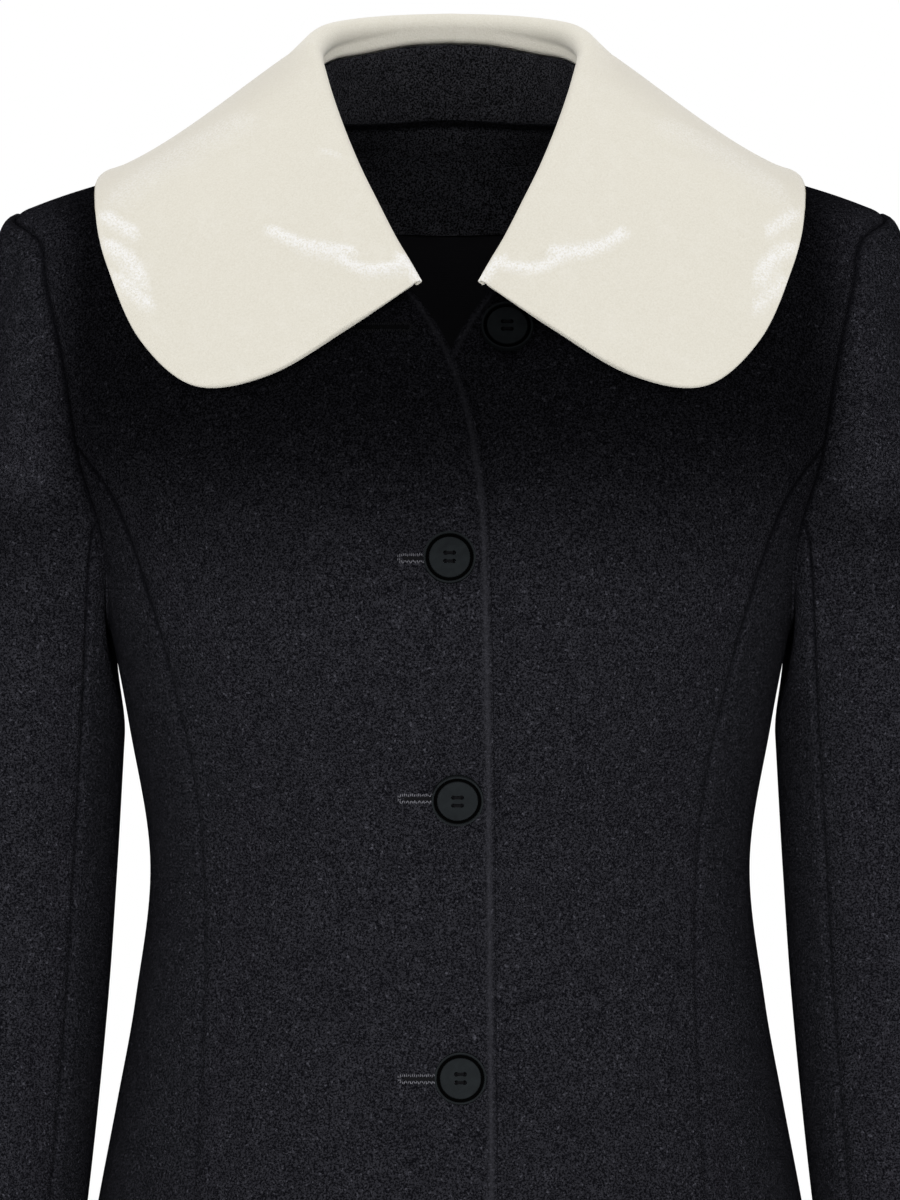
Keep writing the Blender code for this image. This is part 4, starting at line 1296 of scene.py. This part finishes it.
def button_frame(entry):
    """Where a button's middle lies and how it faces, from its solid and the front under it."""
    low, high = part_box(entry.name)
    middle = (Vector(low) + Vector(high)) / 2
    _, facing = front_face(np.array(entry.x), np.array(entry.height), entry.side)
    turn = Vector(facing.tolist()).to_track_quat("Z", "Y")
    return Matrix.Translation(middle) @ turn.to_matrix().to_4x4()


def place_button(blank, entry, finish, thread, sizes):
    """Sets a button on its front, with strands of thread between its holes and a bundle down each hole."""
    place = button_frame(entry)
    data = blank.data.copy()
    data.transform(place)
    data.materials.clear()
    data.materials.append(finish)
    piece = bpy.data.objects.new("horn_" + entry.name, data)
    bpy.context.scene.collection.objects.link(piece)
    join_frame(piece, entry.name)
    spacing = sizes.hole_spacing / 2
    top = sizes.button_thickness / 2
    run = np.linspace(-spacing, spacing, STRAND_POINTS)
    lift = top - STRAND_SINK + STRAND_ARCH * np.sqrt(np.clip(1 - (run / spacing) ** 4, 0, 1))
    dive = np.array((0, 0, STRAND_DIVE))
    local = []
    for y in (-spacing, spacing):
        for strand in STRANDS:
            path = np.stack((run, np.full(STRAND_POINTS, y + strand), lift), axis=-1)
            local.append(np.concatenate((path[:1] - dive, path, path[-1:] - dive)).tolist())
    radii = [STITCH_RADIUS] * len(local)
    bundle = (top - BUNDLE_TOP, top - BUNDLE_TOP - BUNDLE_TAPER, BUNDLE_TAPER - top, -top)
    for x, y in hole_places(sizes):
        local.append([(x, y, z) for z in bundle])
        radii.append(BUNDLE_RADIUS)
    paths = [[place @ Vector(point) for point in path] for path in local]
    tubes("thread_" + entry.name, paths, radii, thread)


def linear(code):
    """An sRGB hex colour as the linear values that a shader takes."""
    parts = [int(code[k : k + 2], 16) / 255 for k in (1, 3, 5)]
    return [part / 12.92 if part <= 0.04045 else ((part + 0.055) / 1.055) ** 2.4 for part in parts] + [1.0]


def add_node(tree, kind, inputs, **settings):
    """Adds a node with its settings, and fills its inputs with values or links."""
    made = tree.nodes.new(kind)
    for name, value in settings.items():
        setattr(made, name, value)
    for name, value in inputs.items():
        if isinstance(value, bpy.types.NodeSocket):
            tree.links.new(value, made.inputs[name])
        else:
            made.inputs[name].default_value = value
    return made


def new_material(name, **inputs):
    """A new material with its tree, its shader and the object's coordinates."""
    made = bpy.data.materials.new(name)
    made.use_nodes = True
    tree = made.node_tree
    shader = tree.nodes["Principled BSDF"]
    for key, value in inputs.items():
        shader.inputs[key.replace("_", " ")].default_value = value
    return made, tree, shader, add_node(tree, "ShaderNodeTexCoord", {}).outputs["Object"]


def noise(tree, place, grain, detail, roughness=0.5, distortion=0.0):
    """Uneven lumps about as large as the grain, in metres."""
    inputs = {"Vector": place, "Scale": 1 / grain, "Detail": detail}
    inputs |= {"Roughness": roughness, "Distortion": distortion}
    return add_node(tree, "ShaderNodeTexNoise", inputs).outputs[0]


def remap(tree, value, low, high, first=0.0, last=1.0):
    """A value between low and high, carried to between first and last."""
    inputs = {"Value": value, "From Min": low, "From Max": high, "To Min": first, "To Max": last}
    return add_node(tree, "ShaderNodeMapRange", inputs).outputs[0]


def mix(tree, share, first, second):
    """A colour between two, each a socket or linear values."""
    return add_node(tree, "ShaderNodeMix", {0: share, 6: first, 7: second}, data_type="RGBA").outputs[2]


def combine(tree, operation, first, second):
    return add_node(tree, "ShaderNodeMath", {0: first, 1: second}, operation=operation).outputs[0]


def attribute(tree, name):
    """A mark laid on the mesh, such as a seam or crushed pile."""
    return add_node(tree, "ShaderNodeAttribute", {}, attribute_name=name).outputs["Fac"]


def finish_shader(tree, shader, colour, height=None, strength=0.0, depth=0.0):
    """Gives the shader its colour and, with a height in metres, its fine relief."""
    if colour:
        tree.links.new(colour, shader.inputs["Base Color"])
    if height:
        bump = add_node(tree, "ShaderNodeBump", {"Height": height, "Strength": strength, "Distance": depth})
        tree.links.new(bump.outputs[0], shader.inputs["Normal"])


def darker(code, share):
    """A hex colour's linear values, darkened."""
    return [part * share for part in linear(code)[:3]] + [1.0]


def milled_wool(colours, name, deep, tip):
    """Milled wool: the nap hides the weave, so it is matt and near black, flecked with paler fibre ends."""
    made, tree, shader, place = new_material(
        name, Roughness=0.92, Sheen_Weight=0.004, Sheen_Roughness=0.55, Sheen_Tint=linear("#8C8C98"),
        Specular_IOR_Level=0.0,
    )
    # Fibres are about 0.02 mm thick: drawn as 0.9 mm tufts so that they show
    fibres = noise(tree, place, 0.0009, 3.0, 0.7)
    tufts = noise(tree, place, 0.0075, 3.0, 0.6)
    flecks = noise(tree, place, 0.0016, 2.0)
    nap = mix(tree, remap(tree, fibres, 0.45, 0.57), linear(deep), linear(tip))
    worn = mix(tree, remap(tree, tufts, 0.3, 0.8, 0.55), linear(deep), nap)
    pale = mix(tree, remap(tree, flecks, 0.62, 0.8, 0.0, 0.34), worn, linear(colours.wool_fleck))
    # Painted highlight: the nap is made paler along the swell of a front edge
    rubbed = combine(tree, "MULTIPLY", attribute(tree, "rubbed"), 0.42)
    edge = mix(tree, rubbed, pale, linear(colours.wool_edge_highlight))
    # Painted shade: the wool is darkened in the seam valleys and at the neck facing's head
    painted_seam_shade = combine(tree, "MULTIPLY", attribute(tree, "seam"), 0.85)
    colour = mix(tree, painted_seam_shade, edge, linear(colours.wool_deep))
    finish_shader(tree, shader, colour, combine(tree, "ADD", fibres, tufts), 0.7, 0.0009)
    return made


def cotton_velvet(colours):
    """Cotton velvet: short upright pile, matt cream, greyed by painted shade over the shoulder and whitened
    by painted sheen where it is crushed.
    """
    made, tree, shader, place = new_material(
        "Cotton velvet", Roughness=0.82, Sheen_Weight=0.35, Sheen_Roughness=0.3, Sheen_Tint=linear("#FFFFFF"),
        Specular_IOR_Level=0.2,
    )
    # Pile tufts stand 0.3 mm apart: drawn 0.9 mm apart, and 1 mm where they are crushed, so that they show
    pile = noise(tree, place, 0.0009, 4.0, 0.6)
    brushed = noise(tree, place, 0.014, 4.0, 0.65)
    specks = noise(tree, place, 0.001, 2.0, 0.6)
    face = mix(tree, remap(tree, pile, 0.3, 0.7), linear(colours.velvet_deep), linear(colours.velvet))
    swept = mix(tree, remap(tree, brushed, 0.52, 0.75, 0.0, 0.18), face, linear(colours.velvet_tip))
    # Painted shade: the pile greys over the shoulder, where the collar turns away from the light
    turned = mix(tree, attribute(tree, "lying"), swept, linear(colours.velvet_shoulder_shade))
    # Painted sheen highlight: crushed pile is whitened, broken into specks
    broken_sheen = combine(tree, "MULTIPLY", attribute(tree, "crush"), remap(tree, specks, 0.36, 0.64, 0.25, 1.35))
    shine = remap(tree, broken_sheen, 0.12, 0.95, 0.0, 0.92)
    finish_shader(tree, shader, mix(tree, shine, turned, linear(colours.velvet_crush_sheen)), pile, 0.45, 0.0006)
    return made


def satin_lining(colours):
    """Viscose satin lining: smooth black cloth with a soft lustre and fine weft lines."""
    made, tree, shader, _ = new_material(
        "Viscose satin", Base_Color=linear(colours.lining), Roughness=0.7, Specular_IOR_Level=0.03
    )
    cloth = add_node(tree, "ShaderNodeTexCoord", {}).outputs["UV"]
    lines = {"Vector": cloth, "Scale": 1 / 0.004, "Distortion": 0.6, "Detail": 2.0}
    weft = add_node(tree, "ShaderNodeTexWave", lines, bands_direction="Y")
    finish_shader(tree, shader, None, weft.outputs[1], 0.15, 0.0003)
    return made


def horn_button(colours):
    """Dyed horn, turned and waxed: near black with cloudy grey streaks, a dull polish and hollows darkened by
    painted shade.
    """
    made, tree, shader, place = new_material("Dyed horn", IOR=1.54, Specular_IOR_Level=0.0)
    streaks = noise(tree, place, 0.006, 4.0, distortion=1.2)
    grain = noise(tree, place, 0.0006, 3.0)
    streaked = mix(tree, streaks, linear(colours.horn_deep), linear(colours.horn))
    # Painted shade darkens the groove, the holes and the channels
    colour = mix(tree, attribute(tree, "hollow"), streaked, linear(colours.hollow))
    tree.links.new(remap(tree, grain, 0.0, 1.0, 0.5, 0.65), shader.inputs["Roughness"])
    finish_shader(tree, shader, colour, grain, 0.12, 0.0002)
    return made


def sewing_thread(name, code):
    """Polyester sewing thread: two plies twisted together, slightly glossy."""
    made, tree, shader, place = new_material(name, Roughness=0.8, Specular_IOR_Level=0.03)
    twist = noise(tree, place, 0.0005, 2.0)
    finish_shader(tree, shader, mix(tree, twist, darker(code, 0.45), linear(code)), twist, 0.3, 0.0002)
    return made


def painted_floor(code):
    """Matt painted studio floor: even and pale, with the faint roller texture of paint."""
    made, tree, shader, place = new_material("Matt floor paint", Roughness=0.8)
    finish_shader(tree, shader, mix(tree, noise(tree, place, 0.004, 3.0), darker(code, 0.97), linear(code)))
    return made


def shared(make, *arguments):
    """A material made once and used by several pieces."""
    key = (make.__name__, *[item for item in arguments if isinstance(item, str)])
    if key not in MADE:
        MADE[key] = make(*arguments)
    return MADE[key]


def coating(colours):
    return shared(milled_wool, colours, "Milled wool coating", colours.wool_deep, colours.wool_tip)


def length_property(name, text, value):
    return bpy.props.FloatProperty(name=name, description=text, default=value, unit="LENGTH", precision=4)


def colour_property(name, text, code):
    return bpy.props.StringProperty(name=name, description=text + ", sRGB hex", default=code)


class CoatSizes(bpy.types.PropertyGroup):
    wool: length_property("Wool", "Thickness of the wool", 0.0025)
    velvet: length_property("Velvet", "Thickness of the collar's velvet and padding", 0.003)
    seam_depth: length_property("Seam depth", "How far a seam draws the cloth in", 0.0011)
    seam_width: length_property("Seam width", "How wide a seam's valley is on each side", 0.0021)
    edge_swell: length_property("Edge swell", "Distance of the swell from a front edge", 0.0032)
    button_radius: length_property("Button radius", "Radius of a button", 0.0125)
    button_thickness: length_property("Button thickness", "Thickness of a button", 0.004)
    hole_spacing: length_property("Hole spacing", "Distance between a button's holes", 0.004)


class CoatColours(bpy.types.PropertyGroup):
    wool_deep: colour_property("Wool ground", "Colour between the wool's fibres", "#030304")
    wool_tip: colour_property("Wool nap", "Colour of the wool's fibre ends", "#161619")
    wool_fleck: colour_property("Wool fleck", "Colour of the palest stray fibres", "#3C3C42")
    # Painted highlight: the paler nap along the swell of a front edge
    wool_edge_highlight: colour_property("Wool edge", "Colour of the nap rubbed flat at the front edge", "#1A1A1D")
    # Painted light: the stand and the facing are paler copies of the black wool, standing in for light inside
    # the neck
    neck_painted_light_ground: colour_property("Stand ground", "Darker colour of the stand's felt", "#0E0E10")
    stand_painted_light_nap: colour_property("Stand nap", "Paler colour of the stand's felt", "#404045")
    facing_painted_light_nap: colour_property("Facing nap", "Paler colour of the neck facing", "#4A4A50")
    velvet: colour_property("Velvet", "Colour of the velvet's pile", "#ECE8DC")
    velvet_deep: colour_property("Velvet ground", "Colour between the velvet's tufts", "#E2DDCF")
    velvet_tip: colour_property("Brushed velvet", "Colour of pile brushed flat", "#F7F4EC")
    # Painted shade: the greyer velvet over the shoulder
    velvet_shoulder_shade: colour_property("Lying velvet", "Colour of pile that lies over the shoulder", "#CFC9BE")
    # Painted sheen highlight: the white of crushed pile
    velvet_crush_sheen: colour_property("Crushed velvet", "Colour of crushed pile", "#FBFAF8")
    lining: colour_property("Lining", "Colour of the lining", "#1B1B1E")
    horn: colour_property("Button streaks", "Paler colour of the buttons", "#0F1112")
    horn_deep: colour_property("Button ground", "Darker colour of the buttons", "#090A0B")
    # Painted shade in the button's groove, holes and channels
    hollow: colour_property("Button hollows", "Colour of the groove, the holes and the channels", "#010101")
    thread: colour_property("Buttonhole thread", "Colour of the buttonhole stitches", "#3E3E42")
    # Painted shade: a darker copy of the buttonhole thread for the top buttonhole, under the collar
    shaded_thread: colour_property("Shaded thread", "Colour of the top buttonhole's stitches", "#161618")
    dark_thread: colour_property("Sewing thread", "Colour of the thread that holds the buttons", "#020203")
    floor: colour_property("Floor", "Colour of the studio floor", "#F2F2F2")


class CoatStage(bpy.types.PropertyGroup):
    floor_drop: length_property("Floor drop", "Floor below the wearer's shoulders", 1.36)
    floor_radius: length_property("Floor radius", "Radius of the floor", 2.6)
    distance: length_property("Camera distance", "Camera in front of the shoulders", 3.0)
    height: length_property("Camera height", "Camera below the shoulders", -0.194)
    surround: bpy.props.FloatProperty(
        name="Surround", description="Strength of the white surround's light", default=1.0
    )
    softbox_distance: length_property("Softbox distance", "Distance of a softbox from the coat's middle", 1.5)
    lens: bpy.props.FloatProperty(name="Lens", description="Focal length in millimetres", default=180.0)


class COAT_OT_body(bpy.types.Operator):
    """Lays out the wool panels of the body"""

    bl_idname = "coat.body"
    bl_label = "Body panels"

    def execute(self, context):
        sizes = context.scene.coat_sizes
        wool = coating(context.scene.coat_colours)
        for side, hand in ((-1, "right"), (1, "left")):
            body_panel("front_" + hand, front_rows(), side, wool, sizes, free=True, sunk=side > 0)
            for facing in ("front", "back"):
                body_panel("side_%s_%s" % (facing, hand), side_rows(facing), side, wool, sizes)
            body_panel("back_" + hand, back_rows(), side, wool, sizes)
        return {"FINISHED"}


class COAT_OT_sleeves(bpy.types.Operator):
    """Lays out the two panels of each sleeve"""

    bl_idname = "coat.sleeves"
    bl_label = "Sleeves"

    def execute(self, context):
        sizes = context.scene.coat_sizes
        wool = coating(context.scene.coat_colours)
        turns = {"upper": (-SLEEVE_SEAM, SLEEVE_SEAM), "under": (SLEEVE_SEAM, 360 - SLEEVE_SEAM)}
        for side, hand in ((-1, "right"), (1, "left")):
            for panel, span in turns.items():
                sleeve_panel("sleeve_%s_%s" % (panel, hand), span, side, wool, sizes)
        return {"FINISHED"}


class COAT_OT_collar(bpy.types.Operator):
    """Folds the velvet collar"""

    bl_idname = "coat.collar"
    bl_label = "Collar"

    def execute(self, context):
        velvet_collar(shared(cotton_velvet, context.scene.coat_colours), context.scene.coat_sizes)
        return {"FINISHED"}


class COAT_OT_inside(bpy.types.Operator):
    """Lays the stand, the back neck facing and the lining inside the coat"""

    bl_idname = "coat.inside"
    bl_label = "Stand, facing and lining"

    def execute(self, context):
        colours = context.scene.coat_colours
        # Painted light: the stand and the facing take paler copies of the black wool, standing in for light
        # inside the neck
        felt = shared(milled_wool, colours, "Wool collar felt", colours.neck_painted_light_ground, colours.stand_painted_light_nap)
        facing = shared(milled_wool, colours, "Wool neck facing", colours.neck_painted_light_ground, colours.facing_painted_light_nap)
        satin = shared(satin_lining, colours)
        collar_stand(felt, context.scene.coat_sizes)
        back_facing(facing)
        back_lining("right", -1, satin)
        back_lining("left", 1, satin)
        return {"FINISHED"}


class COAT_OT_buttons(bpy.types.Operator):
    """Turns the buttons and sews them on"""

    bl_idname = "coat.buttons"
    bl_label = "Buttons"

    def execute(self, context):
        sizes = context.scene.coat_sizes
        colours = context.scene.coat_colours
        horn = shared(horn_button, colours)
        thread = shared(sewing_thread, "Button thread", colours.dark_thread)
        blank = button_blank(sizes)
        for entry in BUTTONS:
            place_button(blank, entry, horn, thread, sizes)
        bpy.data.objects.remove(blank, do_unlink=True)
        return {"FINISHED"}


class COAT_OT_sewing(bpy.types.Operator):
    """Works the buttonholes of the right front"""

    bl_idname = "coat.sewing"
    bl_label = "Buttonholes"

    def execute(self, context):
        colours = context.scene.coat_colours
        pale = shared(sewing_thread, "Buttonhole thread", colours.thread)
        slit = shared(sewing_thread, "Cut wool edge", colours.wool_deep)
        # Painted shade: the top buttonhole, under the collar, takes a darker copy of the thread
        dark = shared(sewing_thread, "Shaded buttonhole thread", colours.shaded_thread)
        for entry in BUTTONHOLES:
            buttonhole(entry, dark if entry.height > SHADED_FROM else pale, slit)
        return {"FINISHED"}


class COAT_OT_stage(bpy.types.Operator):
    """Sets up the floor, the lights and the camera"""

    bl_idname = "coat.stage"
    bl_label = "Studio"

    def execute(self, context):
        stage = context.scene.coat_stage
        bpy.ops.object.select_all(action="DESELECT")
        bpy.ops.mesh.primitive_circle_add(
            vertices=FLOOR_SIDES, radius=stage.floor_radius, fill_type="NGON",
            location=(0, 0, -stage.floor_drop),
        )
        floor = context.active_object
        floor.name = "studio_floor"
        bpy.ops.object.transform_apply(location=True, rotation=True, scale=True)
        floor.data.materials.append(painted_floor(context.scene.coat_colours.floor))
        world = bpy.data.worlds.new("Studio white")
        world.use_nodes = True
        surround = world.node_tree.nodes["Background"]
        surround.inputs["Color"].default_value = linear("#FFFFFF")
        surround.inputs["Strength"].default_value = stage.surround
        context.scene.world = world
        context.scene.view_settings.view_transform = "Standard"
        for box in GRID_SOFTBOXES:
            bpy.ops.object.light_add(type="AREA")
            lamp = context.active_object
            lamp.name = box.name
            lamp.data.shape = "RECTANGLE"
            lamp.data.size = box.width
            lamp.data.size_y = box.height
            lamp.data.spread = math.radians(box.spread)
            lamp.data.energy = box.power
            around = Matrix.Rotation(math.radians(box.turn), 3, "Z")
            lamp.location = around @ Vector((box.aside, -stage.softbox_distance, box.middle))
            lamp.rotation_euler = (math.radians(90), 0, math.radians(box.turn))
        bpy.ops.object.camera_add(
            location=(0, -stage.distance, stage.height), rotation=(math.radians(90), 0, 0)
        )
        camera = context.active_object
        camera.data.sensor_fit = "VERTICAL"
        camera.data.sensor_height = 36
        camera.data.lens = stage.lens
        context.scene.camera = camera
        return {"FINISHED"}


OPERATORS = (
    COAT_OT_body,
    COAT_OT_sleeves,
    COAT_OT_collar,
    COAT_OT_inside,
    COAT_OT_buttons,
    COAT_OT_sewing,
    COAT_OT_stage,
)


class COAT_PT_panel(bpy.types.Panel):
    """Lists the coat's pieces, sizes and colours"""

    bl_idname = "COAT_PT_panel"
    bl_label = "Fitted wool coat"
    bl_space_type = "VIEW_3D"
    bl_region_type = "UI"
    bl_category = "Coat"

    def draw(self, context):
        for group in (context.scene.coat_sizes, context.scene.coat_colours, context.scene.coat_stage):
            box = self.layout.box()
            for name in group.__annotations__:
                box.prop(group, name)
        for operator in OPERATORS:
            self.layout.operator(operator.bl_idname)


GROUPS = {"coat_sizes": CoatSizes, "coat_colours": CoatColours, "coat_stage": CoatStage}
CLASSES = (*GROUPS.values(), *OPERATORS, COAT_PT_panel)


def register():
    for kind in CLASSES:
        bpy.utils.register_class(kind)
    for name, kind in GROUPS.items():
        setattr(bpy.types.Scene, name, bpy.props.PointerProperty(type=kind))


def unregister():
    for name in GROUPS:
        delattr(bpy.types.Scene, name)
    for kind in reversed(CLASSES):
        bpy.utils.unregister_class(kind)


def main():
    register()
    for operator in OPERATORS:
        group, name = operator.bl_idname.split(".")
        getattr(getattr(bpy.ops, group), name)()


if __name__ == "__main__":
    main()
